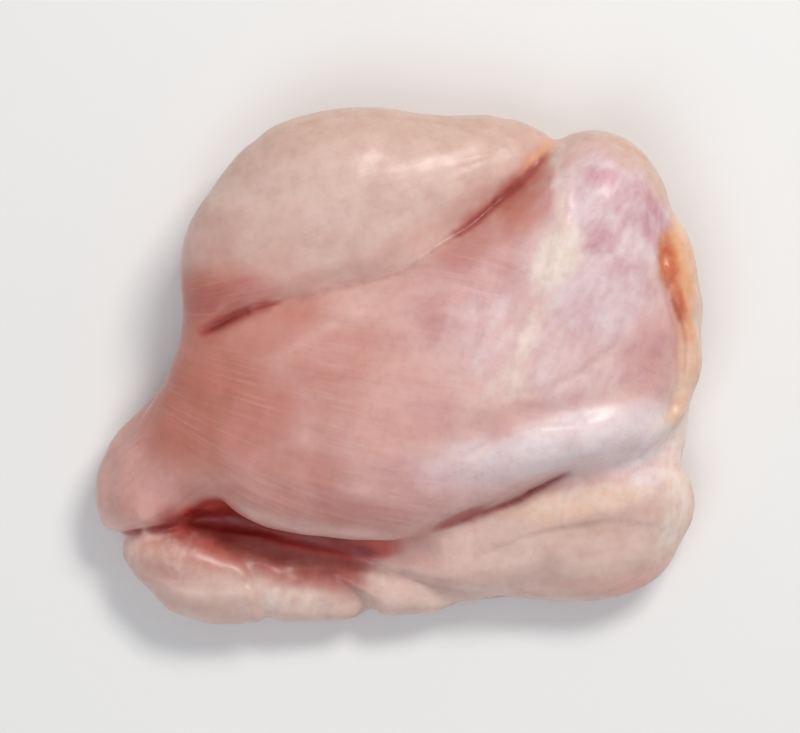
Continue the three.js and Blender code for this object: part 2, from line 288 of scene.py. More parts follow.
def furrow_depth(furrow, x, y):
    """How deep a furrow is: deepest along its line, fading out at both ends and to each side."""
    line, depth, width = furrow
    left_width, right_width = width if isinstance(width, tuple) else (width, width)
    stray = WOBBLE * np.sin(x / WOBBLE_WAVES[0] + y / WOBBLE_WAVES[1])
    distance, share = along_line(line, x + stray, y - stray)
    side_width = np.where(distance < 0, right_width, left_width)
    return depth * np.sin(np.pi * share) * np.exp(-((distance / side_width) ** 2))


seam_middle = furrow_depth(TOP_FURROWS[0], np.array([-13.7]), np.array([10.8]))
print("half way along, the seam's left part is", round(float(seam_middle[0]), 2), "mm deep")

# %% [markdown]
# ## Soft shapes seen from above
# Spots and stripes with soft edges say where the seam between two layers shows, and later where each
# tissue lies. Where several meet, the strongest counts, so they don't add up to a blotch.

# %% Spots and bands
SPOT_FADE = (0.45, 1.55)  # a spot is full up to the first, and gone at the second, times its reach
BAND_TAPER = 0.15  # the share of a band's length over which each end fades


def fade(value, low, high):
    """Rises smoothly from 0 at `low` to 1 at `high`."""
    t = np.clip((value - low) / (high - low), 0, 1)
    return t * t * (3 - 2 * t)


def spot(middle, reach, turn=0, strength=1.0):
    """A soft oval, with its reach along and across its turn."""
    cos, sin = math.cos(math.radians(turn)), math.sin(math.radians(turn))

    def share(x, y):
        dx, dy = x - middle[0], y - middle[1]
        along = (dx * cos + dy * sin) / reach[0]
        across = (dy * cos - dx * sin) / reach[1]
        return strength * (1 - fade(np.hypot(along, across), *SPOT_FADE))

    return share


def band(line, width, strength=1.0):
    """A soft stripe along a line, which fades out at its ends."""

    def share(x, y):
        distance, along = along_line(line, x, y)
        taper = np.minimum(fade(along, 0, BAND_TAPER), 1 - fade(along, 1 - BAND_TAPER, 1))
        return strength * taper * np.exp(-((distance / width) ** 2))

    return share


def strongest(shapes, x, y):
    """The strongest of several spots and bands at each point."""
    return np.max([shape(x, y) for shape in shapes], axis=0)


print("2 mm beside a band 4 mm wide, its share is", round(float(band([(-9, 0), (9, 0)], 4)(0, 2)), 2))

# %% [markdown]
# At the lower left the main muscle hangs over a deep pocket, which is a wide furrow. What lies under
# the muscle is hollowed before the muscle is laid on top, so the muscle keeps its round edge.

# %% The pocket, in millimetres
POCKET_LINE = [(-46, -31), (-38, -29.5), (-31, -30), (-24, -31.2), (-14, -33), (-4, -34.5), (6, -32)]
POCKET = (POCKET_LINE, 5.5, (6, 5.5))
POCKET_MELD = 0.8  # the least rounding between the pocket and the muscle over it
POCKET_STARTS = (2, 7)  # the heights between which the pocket sets in
OVER_POCKET = ("upper_muscle", "main_muscle", "corner_end", "edge_roll", "fat_pad")
print("muscles that hang over the pocket:", ", ".join(OVER_POCKET))

# %% [markdown]
# The edges of the meat are tucked under, so two layers lie on each other low on the sides. The seam
# between them runs round at about the height of one layer, rising and falling a little, and it shows
# on the back, the right and the front.

# %% The seam between the layers, in millimetres
LAYER_SEAM = {"height": 5.2, "rise": 1.3, "wave": 13, "skew": 0.6, "depth": 1.3, "width": (0.5, 1.6)}
LAYER_SEAM_PLACES = [
    spot((-4, 44), (30, 9), turn=-3),
    spot((53, 6), (9, 24)),
    spot((22, -50), (26, 8), turn=8),
    spot((-52, 6), (10, 16), turn=-30, strength=0.8),
]


def layer_seam(x, y, z, wanted):
    """How deep the seam between the layers is: sharp below the upper one, soft on the lower one."""
    wave = np.sin((x + LAYER_SEAM["skew"] * y) / LAYER_SEAM["wave"])
    above = z - (LAYER_SEAM["height"] + LAYER_SEAM["rise"] * wave)
    width = np.where(above > 0, *LAYER_SEAM["width"])
    return wanted * LAYER_SEAM["depth"] * np.exp(-((above / width) ** 2))


print("the layers' seam shows at", len(LAYER_SEAM_PLACES), "sides")

# %% [markdown]
# Furrows depend only on where a point is seen from above. They are worked out once on a fine plan and
# looked up from there, which keeps the many evaluations that follow quick.

# %% A plan of the furrows
LOW = np.array([-60.0, -54.0, -3.3])  # two corners of a box round the thigh
HIGH = np.array([60.0, 50.0, 32.0])
PLAN_STEP = 0.3
PLAN_END = 1.001  # keeps a place inside the plan's last cell
PLAN = np.meshgrid(
    np.arange(LOW[0], HIGH[0] + PLAN_STEP, PLAN_STEP),
    np.arange(LOW[1], HIGH[1] + PLAN_STEP, PLAN_STEP),
    indexing="ij",
)


def look_up(plan, x, y):
    """A plan's value at any place, by even blending of the four nearest points."""
    u = np.clip((x - LOW[0]) / PLAN_STEP, 0, plan.shape[0] - PLAN_END)
    v = np.clip((y - LOW[1]) / PLAN_STEP, 0, plan.shape[1] - PLAN_END)
    i, j = u.astype(int), v.astype(int)
    s, t = u - i, v - j
    near = plan[i, j] * (1 - s) + plan[i + 1, j] * s
    far = plan[i, j + 1] * (1 - s) + plan[i + 1, j + 1] * s
    return near * (1 - t) + far * t


top_plan = sum(furrow_depth(furrow, *PLAN) for furrow in TOP_FURROWS)
side_plan = sum(furrow_depth(furrow, *PLAN) for furrow in SIDE_FURROWS)
tucked_plan = sum(furrow_depth(furrow, *PLAN) for furrow in TUCKED_FURROWS)
pocket_plan = furrow_depth(POCKET, *PLAN)
layer_plan = strongest(LAYER_SEAM_PLACES, *PLAN)
print("furrow plans:", top_plan.shape, "deepest", round(float(top_plan.max()), 2), "mm")

# %% [markdown]
# Now the lobes and furrows become one field. The lobes are melded from the lowest layer up, the pocket
# is hollowed before the muscle over it is laid on, and a slow swell makes the flesh uneven. Last, the
# underside is cut flat with a rounded edge, as soft meat settles on a board. The field is then measured
# at the corners of a grid of small cubes.

# %% The whole thigh as one field
SWELL = {"height": 0.35, "wave": (6.5, 7.5), "bend": (0.7, 0.6), "bend_wave": (9, 11), "shift": 0.8}
BASE_EDGE = 3.0  # the rounding of the underside's edge
BASE_SINK = 0.3  # how far below the board the flat cut lies: the mesh is pressed flat on it later
TOP_STARTS = (7, 11)  # the heights between which each kind of furrow sets in
SIDE_STARTS = (0.5, 4)
TUCKED_STARTS = (6, 3)


def swell_at(x, y):
    """The slow unevenness of soft meat."""
    along = x / SWELL["wave"][0] + SWELL["bend"][0] * np.sin(y / SWELL["bend_wave"][0])
    across = y / SWELL["wave"][1] + SWELL["bend"][1] * np.sin(x / SWELL["bend_wave"][1])
    return SWELL["height"] * np.sin(along) * np.sin(across + SWELL["shift"])


def thigh_field(x, y, z):
    """Negative inside the meat, zero on its surface, in millimetres."""
    value = np.full(np.broadcast_shapes(x.shape, z.shape), np.inf)
    pocket = look_up(pocket_plan, x, y)
    for name, lobe in MUSCLES.items():
        meld = lobe["meld"]
        if name in OVER_POCKET:
            meld = np.maximum(meld - pocket, POCKET_MELD)
        if name == OVER_POCKET[0]:
            value = value + pocket * fade(z, *POCKET_STARTS)
        value = meld_low(value, lobe_field(lobe, x, y, z), meld)
    value = -meld_low(swell_at(x, y) - value, BASE_SINK + z, BASE_EDGE)
    top = look_up(top_plan, x, y) * fade(z, *TOP_STARTS)
    side = look_up(side_plan, x, y) * fade(z, *SIDE_STARTS)
    tucked = look_up(tucked_plan, x, y) * fade(z, *TUCKED_STARTS)
    return value + top + side + tucked + layer_seam(x, y, z, look_up(layer_plan, x, y))


CELL = 0.56  # the side of a cube of the grid
grid = [np.arange(low, high, CELL) for low, high in zip(LOW, HIGH)]
plan_x, plan_y = np.meshgrid(grid[0], grid[1], indexing="ij")
values = thigh_field(plan_x[:, :, None], plan_y[:, :, None], grid[2][None, None, :])
inside_count = int((values < 0).sum())
print("grid", values.shape, "inside", round(inside_count * CELL**3 / 1000), "cubic centimetres")

# %% [markdown]
# ## The net
# The surface is where the field is zero. A net of quads is laid over it: one point in every small cube
# that the surface crosses, and one quad round every cube edge that it crosses. Metaballs would do the
# same with less control, and a remesh of the frame's coarse solid would have no narrow creases.
#
# Where a slit is only one cube wide, its two walls would get the same points and grow together. So a
# face of the grid whose corners are inside and outside in turn is filled first.

# %% Fill slits that are too narrow for the grid
GAP_FILL = 0.02  # how far inside a filled corner lies, in millimetres


def close_narrow_gaps(values):
    """Fills grid faces whose corners are inside and outside in turn, which would join two walls."""
    while True:
        filled = 0
        for side, other in ((0, 1), (1, 2), (2, 0)):
            at = [slice(None)] * 3
            picks = []
            for a, b in ((0, 0), (1, 0), (1, 1), (0, 1)):
                at[side] = slice(a, values.shape[side] - 1 + a)
                at[other] = slice(b, values.shape[other] - 1 + b)
                picks.append(tuple(at))
            inside = [values[pick] < 0 for pick in picks]
            gap = (inside[0] == inside[2]) & (inside[1] == inside[3]) & (inside[0] != inside[1])
            filled += int(gap.sum())
            for pick in picks:
                values[pick] = np.where(gap, np.minimum(values[pick], -GAP_FILL), values[pick])
        if filled == 0:
            return values


values = close_narrow_gaps(values)
print("grid points filled:", int((values < 0).sum()) - inside_count)

# %% [markdown]
# A cube is crossed where some of its corners are inside and some outside. Its point lies at the mean of
# the places where the surface crosses the cube's edges.

# %% One point in each crossed cube
def crossed_cubes(inside):
    """The cubes that the surface crosses, and the number of each on the grid."""
    corners = [inside[a:a - 1 or None, b:b - 1 or None, c:c - 1 or None]
               for a in (0, 1) for b in (0, 1) for c in (0, 1)]
    count = np.sum(corners, axis=0)
    cubes = np.argwhere((count > 0) & (count < len(corners)))
    number = np.full(count.shape, -1)
    number[tuple(cubes.T)] = np.arange(len(cubes))
    return cubes, number


def points_in(cubes, values):
    """A point in each cube, in millimetres."""
    total = np.zeros((len(cubes), 3))
    crossings = np.zeros(len(cubes))
    for axis in range(3):
        side, other = (axis + 1) % 3, (axis + 2) % 3
        for a in (0, 1):
            for b in (0, 1):
                start = cubes.copy()
                start[:, side] += a
                start[:, other] += b
                end = start.copy()
                end[:, axis] += 1
                low, high = values[tuple(start.T)], values[tuple(end.T)]
                crossed = (low < 0) != (high < 0)
                place = start.astype(float)
                place[crossed, axis] += low[crossed] / (low[crossed] - high[crossed])
                total[crossed] += place[crossed]
                crossings += crossed
    return LOW + CELL * total / crossings[:, None]


cubes, cube_number = crossed_cubes(values < 0)
points = points_in(cubes, values)
print(len(points), "points")

# %% [markdown]
# Four cubes share each edge of the grid. Where the surface crosses the edge, their four points make a
# quad, in the turn that makes it face outwards.

# %% One quad round each crossed edge
def quads_round(inside, cube_number):
    """The quads of the net, each as the numbers of its four points."""
    quads = []
    for axis in range(3):
        side, other = (axis + 1) % 3, (axis + 2) % 3
        low = inside.take(range(inside.shape[axis] - 1), axis)
        high = inside.take(range(1, inside.shape[axis]), axis)
        edges = np.argwhere(low != high)
        outward = low[tuple(edges.T)]
        ring = []
        for a, b in ((1, 1), (0, 1), (0, 0), (1, 0)):
            cell = edges.copy()
            cell[:, side] -= a
            cell[:, other] -= b
            ring.append(cube_number[tuple(cell.T)])
        ring = np.stack(ring, axis=1)
        quads.append(np.where(outward[:, None], ring, ring[:, ::-1]))
    return np.vstack(quads)


quads = quads_round(values < 0, cube_number)
print(len(quads), "quads")

# %% [markdown]
# The first points lie near the surface, in steps like a staircase. Two things even them out: each point
# moves towards its neighbours, and then along the slope of the field until it lies on the surface.

# %% Settle the net on the surface
SLOPE_STEP = 0.04  # millimetres to each side of a point
MOST_MOVE = CELL / 4
RELAX_PASSES = 3
RELAX_SHARE = 0.5
LAST_PASSES = 2


def slope_of(points):
    """The direction in which the field rises at each point, and how fast."""
    slope = np.empty_like(points)
    for axis in range(3):
        step = np.zeros(3)
        step[axis] = SLOPE_STEP
        ahead = thigh_field(*(points + step).T)
        behind = thigh_field(*(points - step).T)
        slope[:, axis] = (ahead - behind) / (2 * SLOPE_STEP)
    return slope


def settle(points):
    """Moves points along the slope towards the surface, but not far at once."""
    slope = slope_of(points)
    shift = thigh_field(*points.T) / np.maximum((slope**2).sum(1), TINY)
    return points - slope * np.clip(shift, -MOST_MOVE, MOST_MOVE)[:, None]


edges = np.vstack([quads[:, [k, (k + 1) % 4]] for k in range(4)])
neighbour_count = np.bincount(edges[:, 0], minlength=len(points))


def mean_of_neighbours(values):
    """The mean of a value over each point's neighbours in the net."""
    columns = values.reshape(len(values), -1).T
    sums = [np.bincount(edges[:, 0], column[edges[:, 1]], len(values)) for column in columns]
    return (np.array(sums) / neighbour_count).T.reshape(values.shape)


for _ in range(RELAX_PASSES):
    points = settle(points)
    points += RELAX_SHARE * (mean_of_neighbours(points) - points)
for _ in range(LAST_PASSES):
    points = settle(points)
off = np.abs(thigh_field(*points.T))
print("off the surface: mean", round(float(off.mean()), 3), "most", round(float(off.max()), 2), "mm")

# %% [markdown]
# ## Patches of tissue
# Raw chicken is not one colour. Muscle is pink, and redder where it was worked hardest; some of the
# red is painted shade, on the upper muscle's lower-left flank, along the seams and by the pocket. A
# silvery membrane lies over one corner, cream and orange fat lies in the seams, and creases hold red
# juice, darkened there by painted shade.
# Each tissue is a set of soft spots and bands, given where it lies seen from above. The material breaks
# their edges up later, so they only have to be roughly right. Painting by hand or with an image would
# also work, but spots and bands keep their real sizes.

# %% Where the muscle is pale, tan or red, with red and tan partly painted shade, in millimetres
TISSUES = {
    "pale": [
        spot((-12, 27), (34, 15), turn=14),
        spot((34, -31), (26, 9), turn=10),
        spot((-34, -41), (26, 6), turn=-6),
        spot((2, -44), (30, 6)),
    ],
    "tan": [
        band([(-38, 28), (-24, 39), (-6, 43), (12, 42), (30, 38)], 6, strength=0.9),
        spot((27, 37), (4, 4), strength=0.7),
        spot((31, -29.5), (13, 3), turn=8, strength=0.6),
        # painted shade on the rim at the upper right corner, here and in the next line
        band([(24, 39.5), (35, 38.8), (42.6, 33.6), (48, 24)], 3),
        spot((38, 35.4), (6, 3), turn=-28, strength=0.7),
    ],
    # the redder muscle, and painted shade: on the upper muscle's lower-left flank, along the seams and
    # near the pocket
    "ruddy_and_shade": [
        spot((-35, -9), (19, 14), turn=-15, strength=0.8),
        spot((-22, -13), (25, 14), turn=-12, strength=0.45),
        spot((-13, -1), (14, 6), turn=15, strength=0.5),
        spot((-36, 13), (12, 12), turn=30, strength=0.35),
        spot((-28, 10), (17, 8), turn=20, strength=0.35),
        spot((23, 30), (4, 7), turn=-20, strength=0.7),
        spot((-12, -8), (18, 12), turn=-8, strength=0.3),
        spot((-36, 7), (11, 9), turn=20, strength=0.8),
        spot((-33, 8.5), (13, 8), turn=20, strength=0.65),
        spot((-27, 3), (16, 6), turn=20, strength=0.65),
        spot((9, 9), (9, 5), turn=30, strength=0.25),
        band([(-14, 14), (-2, 18), (8, 24), (18, 33)], 4, strength=0.3),
        spot((-45, -20), (10, 10), turn=-30, strength=0.45),
        spot((-20, -20), (12, 6), turn=-15, strength=0.65),
        spot((-35, -24), (9, 5), turn=-20, strength=0.5),
        spot((21.4, 27.2), (9, 4.6), turn=55, strength=0.8),
        spot((11, 19), (9, 4), turn=45, strength=0.5),
        spot((-16, -26), (20, 4), turn=-12, strength=0.6),
        spot((-24, -25.5), (13, 2.6), turn=-14, strength=0.6),
        spot((-40, -36), (9, 5), turn=-10, strength=0.5),
    ],
    # red muscle, and painted shade in the seams, the tuck crease and the fold below the pocket
    "red_muscle_and_shade": [
        band([(-37, 3.2), (-33, 5), (-27, 7.4), (-22, 9)], 1.4, strength=0.9),
        spot((-32, 9.6), (8, 3), turn=20, strength=0.5),
        band([(-46, -30.5), (-39, -30.5), (-32, -33.5), (-24, -36), (-14, -38), (-2, -39)], 4.2),
        band([(9, 21), (16, 26.5), (21, 31)], 2, strength=0.6),
        spot((9.6, -28.8), (5, 1), turn=24, strength=0.9),
    ],
}
print("kinds of muscle:", ", ".join(TISSUES))

# %% [markdown]
# The membrane is the clear skin of the muscles. Where it is thin it looks mauve, because dark muscle
# shows through it, and the same mauve is painted shade on the right side and above the roll's edge.
# Where it is thick it is silvery, with bruises in it, and on the strip it is lilac.

# %% Where the membrane lies, with mauve partly painted shade, in millimetres
TISSUES |= {
    # the thin membrane, and painted shade on the right side and above the edge of the roll
    "mauve_and_shade": [
        spot((42, 0), (7, 8), turn=-20, strength=0.5),
        spot((27, -9), (9, 3), turn=10, strength=0.35),
        spot((11, 11), (14, 9), turn=35, strength=0.5),
        spot((17, -11), (8, 1.8), turn=18, strength=0.2),
        spot((44.6, -4), (2.4, 6), turn=8, strength=0.5),
        spot((42.6, -9.4), (3.4, 2.6), strength=0.3),
        spot((-8, -26), (12, 4), turn=-12, strength=0.35),
        spot((10, -12), (13, 4), turn=-20, strength=0.35),
        spot((6, -26), (14, 5), turn=5, strength=0.4),
        spot((4, -20.5), (12, 4), turn=5, strength=0.42),
    ],
    "silver": [
        spot((38.5, 26), (12.5, 13), turn=-20),
        spot((32, 13), (11, 13), turn=20, strength=0.9),
        spot((27, -1), (12, 8), strength=0.6),
        spot((18, 2), (13, 10), strength=0.5),
    ],
    "bruise": [
        spot((34, 35), (2.4, 4), turn=10, strength=0.4),
        spot((34.4, 30.4), (3.6, 2.4), turn=-20, strength=0.8),
        spot((33.6, 19.8), (3.6, 4), turn=20, strength=0.85),
        spot((42, 25), (8, 5), turn=-38, strength=0.8),
        spot((40, 13), (6, 3), turn=-50, strength=0.65),
        spot((44.4, 20), (2, 4), turn=8, strength=0.7),
        spot((29, 6), (6, 2.4), turn=-30, strength=0.4),
    ],
    "lilac": [
        spot((31, -15), (17, 5.5), turn=14),
        spot((18, -17), (6, 3), turn=25, strength=0.8),
        spot((14, -19), (13, 5), turn=10, strength=0.6),
        spot((40, -16.5), (9, 4), turn=20, strength=0.9),
        spot((43, -21.4), (4, 2), turn=5, strength=0.7),
    ],
}
print("with the membrane:", len(TISSUES), "tissues")

# %% [markdown]
# Cream tissue lies in the seams and on the flap, and a pad of orange fat on the right edge, pale at its
# rim and red in its folds. Red juice and painted shade lie along the seams and the tucked edges.

# %% Where the cream tissue, the fat, and the juice and painted shade lie, in millimetres
TISSUES |= {
    "cream": [
        band([(26.8, 39.5), (26.6, 33), (26.8, 27), (27.6, 20)], 1.6, strength=0.72),
        spot((26.2, 16.5), (4.2, 6.8), turn=-24, strength=0.9),
        spot((22, 4.5), (1.7, 8), turn=-24, strength=0.65),
        spot((17, -5), (5, 4), strength=0.5),
        spot((33, -25.5), (12, 2.6), turn=8, strength=0.75),
        band([(45, -8), (47.5, -16), (48.5, -27), (45, -37)], 4, strength=0.8),
        spot((48.8, -11), (3, 7)),
        spot((-44, -35), (9, 5), turn=-15, strength=0.4),
        spot((-20, -44), (8, 3), turn=-5, strength=0.5),
        spot((8, -46), (9, 3), turn=5, strength=0.5),
    ],
    "fat": [
        spot((48.6, 16), (4, 6.8), turn=4),
        band([(46, 20), (48.8, 9), (49.6, 2), (49.6, -4)], 2.1, strength=0.7),
        band([(20, 32), (24, 35.4), (28, 39)], 1.3, strength=0.55),
    ],
    # red juice, and painted shade in the seams and along the tucked edges
    "red_juice_and_shade": [
        band([(6, 19), (14, 25), (20.5, 30.5), (26, 36.5)], 3, strength=0.8),
        band([(-36.5, 3), (-33, 4.8), (-27, 7.4), (-20, 9.6)], 2.4),
        band([(-24, 8.4), (-8, 12), (3, 15.6), (14, 24)], 2.4, strength=0.4),
        band([(-1, -33), (7, -29.6), (17.4, -26.6), (23.5, -23.4), (31, -20)], 1.5, strength=0.75),
        band([(-36, -28.5), (-41, -30.2), (-48, -31.4), (-56, -31.5)], 1.6, strength=0.9),
        band([(-14, -34), (-4, -38), (6, -41), (18, -43.5), (32, -47)], 2, strength=0.4),
    ],
    "fat_pale": [
        band([(46, 29), (49, 22), (52, 12), (52, 2), (51, -8)], 2, strength=0.8),
        band([(50, 4), (49.8, -3), (48.8, -8), (46, -14)], 2.4, strength=0.9),
        spot((30, -26.4), (13, 2.6), turn=10, strength=0.6),
    ],
    "fat_red": [
        spot((45.9, 15.8), (1.9, 5.4), turn=8),
        spot((47.6, 9.4), (1.2, 4.4), turn=14, strength=0.85),
    ],
}
print("with the cream tissue, the fat and the juice:", len(TISSUES))

# %% [markdown]
# The shapes are given as seen from above, so they would also colour the underside below them. A tissue
# therefore counts only where the surface faces up or out. The underside gets pale fat in its furrows.

# %% Each point's tissue shares
FACING_UP = (-0.15, 0.3)  # the height of the normal, from where a tissue counts to where it is full
FACING_DOWN = (0.2, 0.7)
slope = slope_of(points)
normals = slope / np.linalg.norm(slope, axis=1)[:, None]
x, y, z = points.T
top_share = fade(normals[:, 2], *FACING_UP)
shares = {name: strongest(shapes, x, y) * top_share for name, shapes in TISSUES.items()}

LOOSE_EDGE = [
    spot((-30, -42), (26, 8), turn=-8),
    spot((6, -45), (26, 7)),
    spot((36, -36), (22, 9), turn=12),
    spot((-50, -24), (9, 14)),
]
UNDERSIDE_FAT = [band(line, width, strength=0.9) for line, depth, width in TUCKED_FURROWS]
underside_share = fade(-normals[:, 2], *FACING_DOWN)
shares["cream"] = np.maximum(shares["cream"], strongest(UNDERSIDE_FAT, x, y) * underside_share)
shares["pocket"] = np.clip(look_up(pocket_plan, x, y) / POCKET[1], 0, 1)
shares["loose_edge"] = strongest(LOOSE_EDGE, x, y)
for name, share in shares.items():
    print(name, "covers", round(100 * float((share > 0.5).mean()), 1), "% of the points")

# %% [markdown]
# ## The grain of the meat
# Each muscle's fibres run along it and draw together at its ends. So each point gets two lengths, one
# along its muscle's fibres and one across them, and a number that tells the muscles apart. Every
# streak, bundle and bump is later drawn on those lengths, so the grain turns where the muscle turns.

# %% Fibre directions
GRAIN = {
    "under_layer": {"turn": 5, "half_length": 60, "spread": 0.3},
    "upper_muscle": {"turn": 19, "half_length": 46, "spread": 0.75},
    "main_muscle": {"turn": -11, "half_length": 58, "spread": 0.7},
    "corner_end": {"turn": 62, "half_length": 30, "spread": 0.4},
    "folded_end": {"turn": 40, "half_length": 40, "spread": 0.2},
    "lower_flap": {"turn": 12, "half_length": 34, "spread": 0.5},
    "lower_fold": {"turn": -10, "half_length": 28, "spread": 0.5},
    "edge_roll": {"turn": 12, "half_length": 26, "spread": 0.3},
    "fat_pad": {"turn": 97, "half_length": 24, "spread": 0.3},
}
GRAIN_SHIFT = 7.3  # sets the streaks of one muscle apart from those of the next
LEAST_NARROWING = 0.6  # fibres draw together no further than this


def along_and_across(name, x, y):
    """How far a place is along its muscle's fibres, and how far across them, in millimetres."""
    middle, grain = MUSCLES[name]["middle"], GRAIN[name]
    cos, sin = math.cos(math.radians(grain["turn"])), math.sin(math.radians(grain["turn"]))
    along = (x - middle[0]) * cos + (y - middle[1]) * sin
    across = (y - middle[1]) * cos - (x - middle[0]) * sin
    narrowing = 1 - grain["spread"] * np.clip(along / grain["half_length"], -1, 1) ** 2
    return along, across / np.maximum(narrowing, LEAST_NARROWING)


fields = np.array([lobe_field(lobe, x, y, z) for lobe in MUSCLES.values()])
nearest = fields.argmin(0)
grain = np.empty_like(points)
for number, name in enumerate(MUSCLES):
    mine = nearest == number
    grain[mine, 0], grain[mine, 1] = along_and_across(name, x[mine], y[mine])
    grain[mine, 2] = z[mine] + number * GRAIN_SHIFT
on_surface = np.bincount(nearest, minlength=len(MUSCLES)).tolist()
print("muscles on the surface:", dict(zip(MUSCLES, on_surface)))

# %% [markdown]
# The lengths jump where one muscle ends and the next begins, and fibres would tear there. So they fade
# out beside every seam, and also on the sides, where a length seen from above is stretched.

# %% How much of the grain shows
SEAM_FADE = (0.2, 2.4)  # millimetres
SIDE_FADE = (0.05, 0.55)
two_nearest = np.sort(fields, axis=0)[:2]
grain_share = fade(two_nearest[1] - two_nearest[0], *SEAM_FADE) * fade(normals[:, 2], *SIDE_FADE)
print("mean share of the grain", round(float(grain_share.mean()), 2))

# %% [markdown]
# ## Hollows and edges
# Red juice gathers in hollows, and light reaches them less, so they are painted a darker red that is
# partly juice and partly painted shade. How hollow a place is can be measured: the net is smoothed,
# and where the smooth copy lies outside the real surface there is a hollow.

# %% How hollow each place is, in millimetres
SMOOTHING = {"narrow": 16, "wide": 160}  # passes: more of them measure wider hollows


def hollowness(passes):
    """How far the surface lies under a smoothed copy of itself."""
    smooth = points.copy()
    for _ in range(passes):
        smooth = mean_of_neighbours(smooth)
    return ((smooth - points) * normals).sum(1)


hollow = {name: hollowness(passes) for name, passes in SMOOTHING.items()}
for name, depth in hollow.items():
    print(name, "hollows:", [round(float(value), 2) for value in np.percentile(depth, (1, 50, 90, 99))])

# %% [markdown]
# The deepest red lies in the pocket, as juice and painted shade: on its floor, and as a painted shadow
# on the wall below the muscle's edge. The painted shade is lighter on the side of the flap, which more
# light reaches.

# %% How deep each place lies in the pocket
POCKET_WALL = [(-42, -28), (-34, -28.8), (-30, -30), (-20, -32.8), (-10, -34.6), (-2, -35.5)]
WALL_WIDTH = 1.6  # millimetres
BELOW_MUSCLE = (-0.2, 0.6)  # millimetres from the surface of the muscle that hangs over
FLAP_SIDE = (0.5, 3)  # millimetres from the pocket's line
FLAP_LIGHTER = 0.55
WIDE_HOLLOW = (-0.6, 0.6)
hanging = np.isin(list(MUSCLES), OVER_POCKET)
beneath = fade(fields[hanging].min(0) - fields[~hanging].min(0), *BELOW_MUSCLE)
wall = beneath * band(POCKET_WALL, WALL_WIDTH)(x, y)
on_flap = fade(-along_line(POCKET_LINE, x, y)[0], *FLAP_SIDE)
hollowed = shares.pop("pocket") * fade(hollow["wide"], *WIDE_HOLLOW) * (1 - FLAP_LIGHTER * on_flap)
in_pocket = np.maximum(hollowed, wall)
print("points well in the pocket:", int((in_pocket > 0.5).sum()))

# %% [markdown]
# Juice and painted shade colour a furrow only where the surface is truly hollow, so a band that strays
# beside its furrow doesn't show. Each layer of juice and painted shade starts at one depth and is full
# at another, thin juice first. The same measures say where the meat shines, because deep hollows don't.

# %% Juice and shade in the hollows
LAYER_SEAM_JUICE_AND_SHADE = 0.6  # how much juice and painted shade the seam between the layers gets, against the other seams
JUICE_AND_SHADE_FROM = {"thin_juice_and_shade": (0.0, 0.4), "deep_juice_and_shade": (0.25, 0.7)}  # millimetres of hollow
POCKET_FROM = {"pocket_side_juice_and_shade": (0.05, 0.6), "pocket_floor_juice_and_shade": (0.35, 0.9)}
DULL_POCKET = (0.1, 0.5)
DULL_HOLLOW = (0.1, 0.45)  # millimetres
DULL_JUICE = 0.7
layered = layer_seam(x, y, z, look_up(layer_plan, x, y)) / LAYER_SEAM["depth"]
juice_and_shade_share = np.maximum(shares.pop("red_juice_and_shade"), LAYER_SEAM_JUICE_AND_SHADE * layered)
for name, depths in JUICE_AND_SHADE_FROM.items():
    shares[name] = juice_and_shade_share * fade(hollow["narrow"], *depths)
for name, depths in POCKET_FROM.items():
    shares[name] = fade(in_pocket, *depths)
dull = np.maximum(fade(in_pocket, *DULL_POCKET), fade(hollow["narrow"], *DULL_HOLLOW))
shares["wetness"] = 1 - np.maximum(dull, DULL_JUICE * juice_and_shade_share)
print("mean wetness", round(float(shares["wetness"].mean()), 2))

# %% [markdown]
# ## The mesh
# The net becomes a Blender mesh. Its place goes into its points, and the object stays at the origin,
# so that every later number is in the frame's own metres. Each share and the grain are stored on the
# points, where the material and the relief can both read them.

# %% Make the mesh, in its place in the frame
box_low, box_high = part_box("thigh")
frame_middle = np.array([(box_low[axis] + box_high[axis]) / 2 for axis in (0, 1)])
net_middle = (points[:, :2].min(0) + points[:, :2].max(0)) / 2
placed = points * MM
placed[:, :2] += frame_middle - net_middle * MM
placed[:, 2] = np.maximum(placed[:, 2], 0)

mesh = bpy.data.meshes.new("thigh_meat")
mesh.from_pydata(placed.tolist(), [], quads.tolist())
mesh.shade_smooth()
for name, values in {**shares, "grain_share": grain_share}.items():
    layer = mesh.attributes.new(name, "FLOAT", "POINT")
    layer.data.foreach_set("value", values.astype(np.float32))
layer = mesh.attributes.new("grain", "FLOAT_VECTOR", "POINT")
layer.data.foreach_set("vector", grain.astype(np.float32).ravel())
thigh = bpy.data.objects.new("thigh_meat", mesh)
bpy.context.scene.collection.objects.link(thigh)
print("the net's middle was at", net_middle.round(2))
print("thigh in mm:", [round(side / MM, 1) for side in thigh.dimensions])

# %% [markdown]
# ## The finish
# Raw thigh meat is bundles of wet pink fibres under a thin membrane and a coat of clear juice. Light
# goes a few millimetres in and comes back redder, and the juice gives soft bright highlights. So the
# base is a soft subsurface shader, and a thin clear coat stands for the juice. The tissues are laid
# over the muscle one by one, each with an edge that a noise breaks up.

# %% A helper for nodes and one for colours
def socket_of(sockets, key):
    """A socket by its place or its name, among those that the node's settings leave in use."""
    in_use = [socket for socket in sockets if not socket.is_unavailable]
    if isinstance(key, int):
        return in_use[key]
    return next(socket for socket in in_use if socket.name == key)


def add_node(tree, kind, inputs=None, output=0, **settings):
    """Adds a node, sets or links its inputs, and gives back one of its outputs."""
    made = tree.nodes.new(kind)
    for name, value in settings.items():
        setattr(made, name, value)
    for key, value in (inputs or {}).items():
        socket = socket_of(made.inputs, key)
        if isinstance(value, bpy.types.NodeSocket):
            tree.links.new(value, socket)
        else:
            socket.default_value = value
    return socket_of(made.outputs, output) if made.outputs else made


